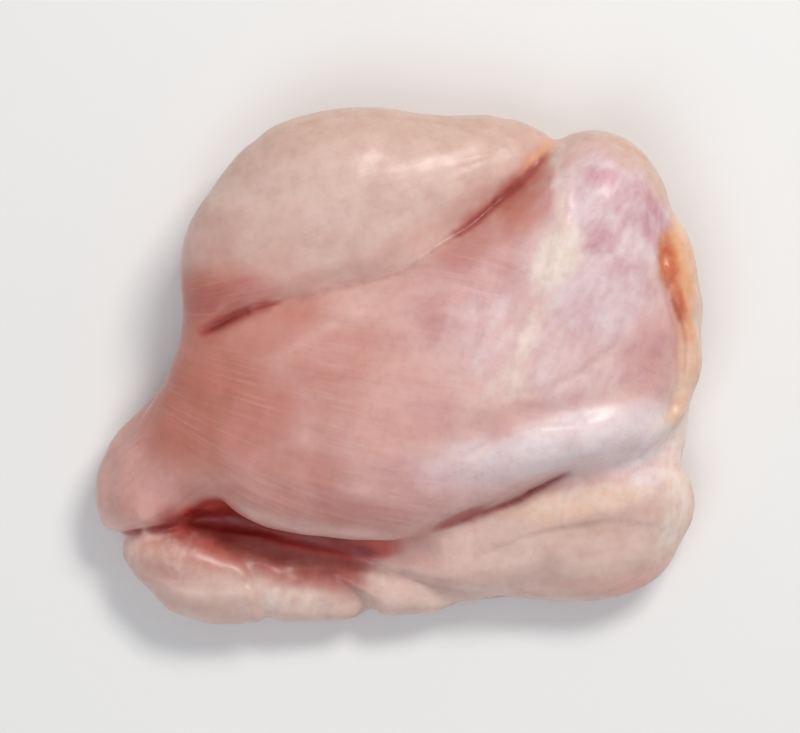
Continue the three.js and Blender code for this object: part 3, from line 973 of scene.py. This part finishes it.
def linear(hex_colour):
    """An sRGB hex colour as the linear colour that shaders work in."""
    parts = [int(hex_colour[start:start + 2], 16) / 255 for start in (1, 3, 5)]
    light = [part / 12.92 if part <= 0.04045 else ((part + 0.055) / 1.055) ** 2.4 for part in parts]
    return (*light, 1.0)


def per_metre(size_mm):
    """The scale of a noise whose blots are about this large, on coordinates in metres."""
    return 1 / (size_mm * MM)


print("middle grey is", round(linear("#808080")[0], 3), "as linear light")

# %% [markdown]
# Each tissue has two near colours that are mixed in blots, whose size is in millimetres. Its edge is
# given by the shares at which it starts to show and covers fully, and ragged says how much a noise
# frays it. The blots of membrane are drawn out along its fibres, by a turn and a stretch.

# %% Colours of the tissues, and how ragged their edges are
FLESH = {"main": "#e1b9b0", "other": "#d7aaa0", "blot": 9}
TISSUE_LOOKS = {
    "pale": {"main": "#dabdb1", "other": "#cca99d", "edge": (0.05, 0.85), "ragged": 0.4, "blot": 6},
    # ruddy, red muscle and mauve are partly painted shade
    "ruddy_and_shade": {"main": "#c17565", "other": "#b46853", "edge": (0.0, 1.0), "ragged": 0.18, "blot": 9},
    "red_muscle_and_shade": {"main": "#b05c52", "other": "#99463d", "edge": (0.0, 1.0), "ragged": 0.3, "blot": 4},
    "mauve_and_shade": {"main": "#bf868d", "other": "#ab7080", "edge": (0.05, 1.1), "ragged": 0.35, "blot": 4},
    "lilac": {"main": "#ebdcdc", "other": "#dfc8cb", "edge": (0.0, 1.0), "ragged": 0.4, "blot": 6},
    "silver": {"main": "#e0cccd", "other": "#d2adb2", "edge": (0.0, 1.0), "ragged": 0.7, "blot": 3,
               "turn": 62, "stretch": 2},
    "bruise": {"main": "#c08a94", "other": "#cfa5ad", "edge": (0.15, 1.3), "ragged": 1.7, "blot": 2.8,
               "turn": 62, "stretch": 1.4},
    # tan is partly painted shade on the corner rim
    "tan": {"main": "#d3b3a3", "other": "#c7a190", "edge": (0.05, 1.1), "ragged": 0.4, "blot": 4},
    "cream": {"main": "#ebdcd2", "other": "#dfc6b4", "edge": (0.15, 1.1), "ragged": 1.0, "blot": 2.6,
              "turn": 75, "stretch": 1.8},
    "fat": {"main": "#e3ae84", "other": "#d8966a", "edge": (0.05, 0.85), "ragged": 0.5, "blot": 3.4},
    "fat_pale": {"main": "#e4c4ac", "other": "#dbb298", "edge": (0.1, 1.0), "ragged": 0.7, "blot": 3},
    "fat_red": {"main": "#cd7550", "other": "#ba5a40", "edge": (0.0, 1.1), "ragged": 0.7, "blot": 2},
}
# juice and painted shade, in the creases and in the pocket
JUICE_AND_SHADE_LOOKS = {
    "thin_juice_and_shade": {"main": "#a4453c", "other": "#93372f", "edge": (0.0, 1.2), "ragged": 0.3, "blot": 2},
    "deep_juice_and_shade": {"main": "#7c2723", "other": "#661b1a", "edge": (0.0, 1.2), "ragged": 0.3, "blot": 2},
    "pocket_side_juice_and_shade": {"main": "#c65449", "other": "#b14138", "edge": (0.0, 1.1), "ragged": 0.4, "blot": 4},
    "pocket_floor_juice_and_shade": {"main": "#a0322c", "other": "#8a2622", "edge": (0.0, 1.0), "ragged": 0.3, "blot": 4},
}
print(len(TISSUE_LOOKS) + len(JUICE_AND_SHADE_LOOKS), "layers over the flesh")

# %% [markdown]
# Each tissue, and each layer of juice and painted shade, is laid in the same way, so one function does
# it. A noise is added to the tissue's share before the edge is cut, which frays the edge, and a second
# noise mixes two colours inside it, because no tissue of an animal has one flat colour.

# %% Lay one tissue over what is there
TINT_SIZE = 0.8  # blots of the second colour, against those of the edge
TINT_FROM, TINT_FULL = 0.33, 0.75  # the noise's values between which it sets in
TINT_MOST = 0.8


def lay_tissue(tree, place, name, look, below):
    """Lays a tissue or a layer of painted shade over a colour, and gives back the new colour and its
    share.
    """
    turned = add_node(tree, "ShaderNodeMapping", {
        "Vector": place,
        "Rotation": (0, 0, math.radians(look.get("turn", 0))),
        "Scale": (look.get("stretch", 1), 1, 1),
    }, vector_type="TEXTURE")
    given = add_node(tree, "ShaderNodeAttribute", attribute_name=name, output="Fac")
    blots = add_node(tree, "ShaderNodeTexNoise", {
        "Vector": turned, "Scale": per_metre(look["blot"]), "Detail": 3.0})
    uneven = add_node(tree, "ShaderNodeMath", {
        0: blots, 1: look["ragged"], 2: given}, operation="MULTIPLY_ADD")
    low, high = [edge + look["ragged"] / 2 for edge in look["edge"]]
    share = add_node(tree, "ShaderNodeMapRange", {
        "Value": uneven, "From Min": low, "From Max": high}, interpolation_type="SMOOTHSTEP")
    tint_blots = add_node(tree, "ShaderNodeTexNoise", {
        "Vector": turned, "Scale": per_metre(look["blot"] * TINT_SIZE), "Detail": 2.0})
    tint = add_node(tree, "ShaderNodeMapRange", {
        "Value": tint_blots, "From Min": TINT_FROM, "From Max": TINT_FULL, "To Max": TINT_MOST,
    }, interpolation_type="SMOOTHSTEP")
    colour = add_node(tree, "ShaderNodeMix", {
        "Factor": tint, "A": linear(look["main"]), "B": linear(look["other"])}, data_type="RGBA")
    laid = add_node(tree, "ShaderNodeMix", {
        "Factor": share, "A": below, "B": colour}, data_type="RGBA")
    return laid, share


print("the second colour makes up at most", TINT_MOST, "of the mix")

# %% [markdown]
# The flesh below everything is mottled in two pinks. The tissues go over it in the order of the list,
# so that the bruises lie in the silvery membrane and the red fat lies on the pale.

# %% The meat's material, from the flesh up to the tissues
MOST_BLOTS = (0.35, 0.65)  # most values of a noise lie between these
meat = bpy.data.materials.new("wet_raw_thigh_meat")
meat.use_nodes = True
tree = meat.node_tree
tree.nodes.clear()

place = add_node(tree, "ShaderNodeTexCoord", output="Object")
grain_place = add_node(tree, "ShaderNodeAttribute", attribute_name="grain", output="Vector")
along_grain = add_node(tree, "ShaderNodeAttribute", attribute_name="grain_share", output="Fac")
flesh_blots = add_node(tree, "ShaderNodeTexNoise", {
    "Vector": place, "Scale": per_metre(FLESH["blot"]), "Detail": 3.0})
mottle = add_node(tree, "ShaderNodeMapRange", {
    "Value": flesh_blots, "From Min": MOST_BLOTS[0], "From Max": MOST_BLOTS[1],
}, interpolation_type="SMOOTHSTEP")
colour = add_node(tree, "ShaderNodeMix", {
    "Factor": mottle, "A": linear(FLESH["main"]), "B": linear(FLESH["other"])}, data_type="RGBA")
tissue_share = {}
for name, look in TISSUE_LOOKS.items():
    colour, tissue_share[name] = lay_tissue(tree, place, name, look, colour)
print("flesh and", len(tissue_share), "tissues:", len(tree.nodes), "nodes")

# %% [markdown]
# Fine streaks run along the fibres wherever no membrane or fat hides them, and they show in patches.
# So first it is worked out how bare the muscle is.

# %% How bare the muscle is
COVERS = {"silver": 0.85, "cream": 0.85, "fat": 0.85, "pale": 0.6}  # the share that each hides
PATCH_SIZE = 16  # the fibres show in patches of about this size
BETWEEN_PATCHES = 0.25  # how much they show elsewhere
patches = add_node(tree, "ShaderNodeTexNoise", {"Vector": place, "Scale": per_metre(PATCH_SIZE)})
patchy = add_node(tree, "ShaderNodeMapRange", {
    "Value": patches, "From Min": MOST_BLOTS[0], "From Max": MOST_BLOTS[1], "To Min": BETWEEN_PATCHES,
}, interpolation_type="SMOOTHSTEP")
bare = add_node(tree, "ShaderNodeMath", {0: patchy, 1: along_grain}, operation="MULTIPLY")
for name, most in COVERS.items():
    left_bare = add_node(tree, "ShaderNodeMath", {
        0: tissue_share[name], 1: -most, 2: 1.0}, operation="MULTIPLY_ADD")
    bare = add_node(tree, "ShaderNodeMath", {0: bare, 1: left_bare}, operation="MULTIPLY")
print("tissues that hide the fibres:", ", ".join(COVERS))

# %% [markdown]
# The streaks could be long thin meshes, but at a fraction of a millimetre they are colour, not form.
# Three stretched noises on the grain's own lengths give coarse dark, thin pale and fine dark streaks,
# in millimetres. The juice and the painted shade of the creases and the pocket then cover them.

# %% Fibre streaks where the muscle is bare
STREAKS = (
    {"length": 16, "width": 1.3, "colour": "#a86c6c", "strength": 0.24},
    {"length": 18, "width": 0.9, "colour": "#e6c8c1", "strength": 0.2},
    {"length": 8, "width": 0.4, "colour": "#b67a76", "strength": 0.14},
)
STREAK_SHIFT = 31.7  # keeps the three kinds from lying on each other
STREAK_PER_HEIGHT = 0.12  # how fast the streaks change with height, and from muscle to muscle
STREAK_FROM, STREAK_FULL = 0.45, 0.8  # the noise's values between which a streak sets in
for number, streak in enumerate(STREAKS):
    stretched = add_node(tree, "ShaderNodeVectorMath", {
        0: grain_place,
        1: (1 / streak["length"], 1 / streak["width"], STREAK_PER_HEIGHT),
        2: (number * STREAK_SHIFT, 0, 0),
    }, operation="MULTIPLY_ADD")
    lines = add_node(tree, "ShaderNodeTexNoise", {
        "Vector": stretched, "Scale": 1.0, "Detail": 2.5, "Roughness": 0.6})
    strength = add_node(tree, "ShaderNodeMapRange", {
        "Value": lines, "From Min": STREAK_FROM, "From Max": STREAK_FULL, "To Max": streak["strength"],
    }, interpolation_type="SMOOTHSTEP")
    share = add_node(tree, "ShaderNodeMath", {0: strength, 1: bare}, operation="MULTIPLY")
    colour = add_node(tree, "ShaderNodeMix", {
        "Factor": share, "A": colour, "B": linear(streak["colour"])}, data_type="RGBA")
# the juice and painted shade in the creases and the pocket go on last
for name, look in JUICE_AND_SHADE_LOOKS.items():
    colour, _ = lay_tissue(tree, place, name, look, colour)
print(len(STREAKS), "kinds of streak under", len(JUICE_AND_SHADE_LOOKS), "layers of juice")

# %% [markdown]
# Seen close, raw meat is finely mottled all over, because its fibre bundles catch the light unevenly.
# It tells the eye that this is flesh and not wax. It is so faint that one noise is enough.

# %% Faint fine mottling all over
SPECK = {"size": 1.4, "colour": "#9c5f5a", "strength": 0.14}
grains = add_node(tree, "ShaderNodeTexNoise", {
    "Vector": place, "Scale": per_metre(SPECK["size"]), "Detail": 3.0, "Roughness": 0.6})
strength = add_node(tree, "ShaderNodeMapRange", {
    "Value": grains, "From Min": STREAK_FROM, "From Max": STREAK_FULL, "To Max": SPECK["strength"],
}, interpolation_type="SMOOTHSTEP")
colour = add_node(tree, "ShaderNodeMix", {
    "Factor": strength, "A": colour, "B": linear(SPECK["colour"])}, data_type="RGBA")
print("colour is made by", len(tree.nodes), "nodes")

# %% [markdown]
# Two surfaces shine at once: the flesh, which is damp and a little rough, and the juice that lies on
# it. So the flesh gets bumps for its fibres and pores, and the clear coat gets its own gentle ripples.
# That keeps the highlights broken and soft, as on wet meat, and not like those on varnish.

# %% Fine bumps of the fibres, the pores and the juice, in millimetres
FIBRE_PER_HEIGHT = 0.15  # as for the streaks
FINE = {
    "fibre": {"length": 9, "width": 0.8, "height": 0.07},
    "pore": {"size": 0.8, "height": 0.035},
    "juice": {"size": 1.9, "height": 0.06},
}
fine_place = add_node(tree, "ShaderNodeVectorMath", {
    0: grain_place, 1: (1 / FINE["fibre"]["length"], 1 / FINE["fibre"]["width"], FIBRE_PER_HEIGHT),
}, operation="MULTIPLY")
fibres = add_node(tree, "ShaderNodeTexNoise", {"Vector": fine_place, "Scale": 1.0, "Detail": 2.0})
fibre_height = add_node(tree, "ShaderNodeMath", {0: fibres, 1: bare}, operation="MULTIPLY")
fibre_bump = add_node(tree, "ShaderNodeBump", {
    "Height": fibre_height, "Distance": FINE["fibre"]["height"] * MM})
pores = add_node(tree, "ShaderNodeTexNoise", {
    "Vector": place, "Scale": per_metre(FINE["pore"]["size"]), "Detail": 2.0})
pore_bump = add_node(tree, "ShaderNodeBump", {
    "Height": pores, "Distance": FINE["pore"]["height"] * MM, "Normal": fibre_bump})
ripples = add_node(tree, "ShaderNodeTexNoise", {
    "Vector": place, "Scale": per_metre(FINE["juice"]["size"]), "Detail": 3.0})
juice_bump = add_node(tree, "ShaderNodeBump", {
    "Height": ripples, "Distance": FINE["juice"]["height"] * MM})
print("bumps:", ", ".join(f"{name} {fine['height']} mm" for name, fine in FINE.items()))

# %% [markdown]
# The surface shader gets the colour and the bumps. The roughness varies with how damp each place is,
# and the coat of juice is thick on the shoulders and thin in the hollows. Red light goes furthest into
# meat, which is why the subsurface radius is longest for red.

# %% The surface
DAMP_PATCH = 5  # millimetres
DAMP_FROM, DAMP_FULL = 0.35, 0.7  # the noise's values between which the roughness changes
ROUGHNESS_OF_DAMP = (0.34, 0.5)
COAT_OF_JUICE = (0.03, 0.45)  # its weight in the hollows and on the shoulders
dampness = add_node(tree, "ShaderNodeTexNoise", {
    "Vector": place, "Scale": per_metre(DAMP_PATCH), "Detail": 3.0})
roughness = add_node(tree, "ShaderNodeMapRange", {
    "Value": dampness, "From Min": DAMP_FROM, "From Max": DAMP_FULL,
    "To Min": ROUGHNESS_OF_DAMP[0], "To Max": ROUGHNESS_OF_DAMP[1],
}, interpolation_type="SMOOTHSTEP")
wetness = add_node(tree, "ShaderNodeAttribute", attribute_name="wetness", output="Fac")
coat = add_node(tree, "ShaderNodeMapRange", {
    "Value": wetness, "To Min": COAT_OF_JUICE[0], "To Max": COAT_OF_JUICE[1]})
surface = add_node(tree, "ShaderNodeBsdfPrincipled", {
    "Base Color": colour,
    "Roughness": roughness,
    "IOR": 1.38,
    "Normal": pore_bump,
    "Subsurface Weight": 0.35,
    "Subsurface Radius": (1.0, 0.42, 0.28),
    "Subsurface Scale": 2.6 * MM,
    "Coat Weight": coat,
    "Coat Roughness": 0.25,
    "Coat IOR": 1.34,
    "Coat Normal": juice_bump,
})
add_node(tree, "ShaderNodeOutputMaterial", {"Surface": surface})
print("material", meat.name, "has", len(tree.nodes), "nodes")

# %% [markdown]
# ## Relief
# Soft meat is never quite smooth: its fibres lie in bundles two to three millimetres wide, it is a
# little lumpy, and fat is a cluster of small lobules. That relief follows the surface and repeats, so a
# Geometry Nodes tree pushes the points out along their normals. Its sizes are named inputs.

# %% The relief tree
RELIEF = {
    "bundle length": 26 * MM, "bundle width": 2.6 * MM, "bundle height": 0.28 * MM,
    "lump size": 7 * MM, "lump height": 0.5 * MM,
    "fold size": 12 * MM, "fold height": 2.2 * MM,
    "lobule size": 2.4 * MM, "lobule height": 0.5 * MM,
    "flat below": 0.3 * MM, "full above": 3 * MM,
}
relief = bpy.data.node_groups.new("meat_relief", "GeometryNodeTree")
relief.interface.new_socket("Geometry", in_out="INPUT", socket_type="NodeSocketGeometry")
relief.interface.new_socket("Geometry", in_out="OUTPUT", socket_type="NodeSocketGeometry")
for name in RELIEF:
    relief.interface.new_socket(name, in_out="INPUT", socket_type="NodeSocketFloat")
relief.interface.new_socket("material", in_out="INPUT", socket_type="NodeSocketMaterial")
given = add_node(relief, "NodeGroupInput").node.outputs
position = add_node(relief, "GeometryNodeInputPosition")
stored = {name: add_node(relief, "GeometryNodeInputNamedAttribute", {"Name": name})
          for name in ("grain_share", "loose_edge", "fat", "cream")}


def add_height(tree, total, pattern, height, share):
    """Adds a height in metres: a pattern from 0 to 1, centred, times where it is wanted."""
    centred = add_node(tree, "ShaderNodeMath", {0: pattern, 1: 0.5}, operation="SUBTRACT")
    wanted = add_node(tree, "ShaderNodeMath", {0: height, 1: share}, operation="MULTIPLY")
    return add_node(tree, "ShaderNodeMath", {0: centred, 1: wanted, 2: total}, operation="MULTIPLY_ADD")


print("named inputs:", ", ".join(RELIEF))

# %% [markdown]
# The first relief is the fibre bundles. They follow the grain that was stored on the points, so they
# turn with each muscle, and they fade where two muscles meet.

# %% Fibre bundles
BUNDLE_PER_HEIGHT = 0.1  # as for the streaks
per_length = add_node(relief, "ShaderNodeMath", {0: MM, 1: given["bundle length"]}, operation="DIVIDE")
per_width = add_node(relief, "ShaderNodeMath", {0: MM, 1: given["bundle width"]}, operation="DIVIDE")
squeeze = add_node(relief, "ShaderNodeCombineXYZ", {
    "X": per_length, "Y": per_width, "Z": BUNDLE_PER_HEIGHT})
grain_given = add_node(relief, "GeometryNodeInputNamedAttribute", {"Name": "grain"},
                       data_type="FLOAT_VECTOR")
along_fibres = add_node(relief, "ShaderNodeVectorMath", {
    0: grain_given, 1: squeeze}, operation="MULTIPLY")
bundles = add_node(relief, "ShaderNodeTexNoise", {
    "Vector": along_fibres, "Scale": 1.0, "Detail": 1.0})
height = add_height(relief, 0.0, bundles, given["bundle height"], stored["grain_share"])
print("bundles are", round(RELIEF["bundle width"] / MM, 1), "mm wide")

# %% [markdown]
# Slow lumps keep any part of the flesh from looking turned on a lathe. The loose edge below and at
# the left isn't held by a membrane, so there a larger noise gives it soft folds.

# %% Lumps everywhere, and folds where the edge is loose
for name, detail, wanted in (("lump", 1.5, 1.0), ("fold", 1.0, stored["loose_edge"])):
    scale = add_node(relief, "ShaderNodeMath", {0: 1.0, 1: given[f"{name} size"]}, operation="DIVIDE")
    blots = add_node(relief, "ShaderNodeTexNoise", {
        "Vector": position, "Scale": scale, "Detail": detail})
    height = add_height(relief, height, blots, given[f"{name} height"], wanted)
    print(f"a {name} is about", round(RELIEF[f"{name} size"] / MM), "mm wide")

# %% [markdown]
# Fat grows in small rounded lobules. A smooth Voronoi pattern gives such cells, and it is raised only
# where the fat lies, and half as much in the thin cream seams.

# %% Lobules of fat
per_lobule = add_node(relief, "ShaderNodeMath", {0: 1.0, 1: given["lobule size"]}, operation="DIVIDE")
lobules = add_node(relief, "ShaderNodeTexVoronoi", {
    "Vector": position, "Scale": per_lobule, "Smoothness": 0.6}, feature="SMOOTH_F1")
humps = add_node(relief, "ShaderNodeMath", {0: 1.0, 1: lobules}, operation="SUBTRACT")
half_cream = add_node(relief, "ShaderNodeMath", {0: stored["cream"], 1: 0.5}, operation="MULTIPLY")
fatty = add_node(relief, "ShaderNodeMath", {0: stored["fat"], 1: half_cream}, operation="MAXIMUM")
height = add_height(relief, height, humps, given["lobule height"], fatty)
print("lobules are", round(RELIEF["lobule size"] / MM, 1), "mm wide")

# %% [markdown]
# All the heights are now one number at each point. The points move along their normals by it, except
# near the board, where the underside stays flat so that the thigh rests as the frame does.

# %% Push the points out, but keep the flat underside
up = add_node(relief, "ShaderNodeSeparateXYZ", {"Vector": position}, output="Z")
lifted = add_node(relief, "ShaderNodeMapRange", {
    "Value": up, "From Min": given["flat below"], "From Max": given["full above"],
}, interpolation_type="SMOOTHSTEP")
reach = add_node(relief, "ShaderNodeMath", {0: height, 1: lifted}, operation="MULTIPLY")
outward = add_node(relief, "GeometryNodeInputNormal")
push = add_node(relief, "ShaderNodeVectorMath", {0: outward, "Scale": reach}, operation="SCALE")
moved = add_node(relief, "GeometryNodeSetPosition", {"Geometry": given["Geometry"], "Offset": push})
real = add_node(relief, "GeometryNodeRealizeInstances", {"Geometry": moved})
finished = add_node(relief, "GeometryNodeSetMaterial", {
    "Geometry": real, "Material": given["material"]})
add_node(relief, "NodeGroupOutput", {"Geometry": finished})
print("relief tree:", len(relief.nodes), "nodes")

# %% [markdown]
# The tree runs as a modifier, whose inputs are set before it is first evaluated. Its result is then
# kept as a plain mesh, so that everything after it sees real points.

# %% Raise the relief and keep the result as a plain mesh
def with_tree(piece, group, values):
    """Runs a tree on a piece with values for its named inputs, and keeps the result as its mesh."""
    modifier = piece.modifiers.new(group.name, "NODES")
    modifier.node_group = group
    for item in group.interface.items_tree:
        if item.in_out == "INPUT" and item.name in values:
            modifier[item.identifier] = values[item.name]
    depsgraph = bpy.context.evaluated_depsgraph_get()
    result = bpy.data.meshes.new_from_object(piece.evaluated_get(depsgraph), depsgraph=depsgraph,
                                             preserve_all_data_layers=True)
    piece.modifiers.remove(modifier)
    plain = piece.data
    piece.data = result
    bpy.data.meshes.remove(plain)
    result.name = piece.name
    return result


before = np.array([vertex.co for vertex in thigh.data.vertices])
mesh = with_tree(thigh, relief, {**RELIEF, "material": meat})
after = np.array([vertex.co for vertex in mesh.vertices])
moves = np.linalg.norm(after - before, axis=1) / MM
print("points moved by", round(float(moves.mean()), 2), "mm, at most", round(float(moves.max()), 2))

# %% [markdown]
# ## The stage
# The thigh lies on a plain pale floor under a large soft lamp at its upper side, with an even, weak
# light from all round. The camera looks straight down through a long lens, so that the outline isn't
# widened at the edges.

# %% The floor
FLOOR_HALF = 2.0  # metres
FLOOR_GAP = 0.1 * MM  # below the thigh, so that the two never share a plane
floor_mesh = bpy.data.meshes.new("floor")
floor_corners = [(FLOOR_HALF * a, FLOOR_HALF * b, -FLOOR_GAP)
                 for a, b in ((-1, -1), (1, -1), (1, 1), (-1, 1))]
floor_mesh.from_pydata(floor_corners, [], [(0, 1, 2, 3)])
floor = bpy.data.objects.new("floor", floor_mesh)
bpy.context.scene.collection.objects.link(floor)
board = bpy.data.materials.new("pale_matt_board")
board.use_nodes = True
board_surface = board.node_tree.nodes["Principled BSDF"]
board_surface.inputs["Base Color"].default_value = linear("#e9e9e7")
board_surface.inputs["Roughness"].default_value = 0.7
floor_mesh.materials.append(board)
print("floor", 2 * FLOOR_HALF, "m wide")

# %% [markdown]
# Wet meat is judged by its highlights. The key lamp is a wide panel far up at the upper right, so that
# they are soft and lie on the shoulders of the muscles. The fill lamp opens the shade at the lower
# side without a second set of hard highlights.

# %% Light from all round, and the lamps
world = bpy.data.worlds.new("studio")
world.use_nodes = True
sky = world.node_tree.nodes["Background"]
sky.inputs["Color"].default_value = linear("#eef1f6")
sky.inputs["Strength"].default_value = 0.4
bpy.context.scene.world = world

LAMPS = {
    "key": {"place": (0.32, 0.47, 0.64), "size": (0.36, 0.2), "power": 4.65, "colour": "#fffaf4"},
    "fill": {"place": (-0.2, -0.4, 0.75), "size": (0.6, 0.6), "power": 2.3, "colour": "#f6f8ff"},
}
for name, lamp in LAMPS.items():
    light = bpy.data.lights.new(name, "AREA")
    light.shape = "RECTANGLE"
    light.size, light.size_y = lamp["size"]
    light.energy = lamp["power"]
    light.color = linear(lamp["colour"])[:3]
    lit = bpy.data.objects.new(name, light)
    lit.location = lamp["place"]
    lit.rotation_euler = (-Vector(lamp["place"])).to_track_quat("-Z", "Y").to_euler()
    bpy.context.scene.collection.objects.link(lit)
bpy.context.scene.view_settings.view_transform = "Standard"
print("lamps:", ", ".join(LAMPS))

# %% [markdown]
# The camera hangs straight above the thigh. A lens of 180 mm from far away gives almost the same
# outline as a flat drawing of it, which makes the sizes easy to compare.

# %% The camera
VIEW_WIDTH = 141 * MM
VIEW_HEIGHT = 12 * MM  # the height above the floor at which the view is that wide
LENS = 180
SENSOR = 36
camera_data = bpy.data.cameras.new("camera")
camera_data.lens = LENS
camera_data.sensor_width = SENSOR
camera = bpy.data.objects.new("camera", camera_data)
camera.location = (0, 0, VIEW_WIDTH * LENS / SENSOR + VIEW_HEIGHT)
bpy.context.scene.collection.objects.link(camera)
bpy.context.scene.camera = camera
print("camera", round(camera.location.z, 3), "m above the floor")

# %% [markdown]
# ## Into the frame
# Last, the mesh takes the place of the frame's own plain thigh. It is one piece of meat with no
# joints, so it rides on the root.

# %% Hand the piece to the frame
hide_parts("thigh")
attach(thigh, "root")
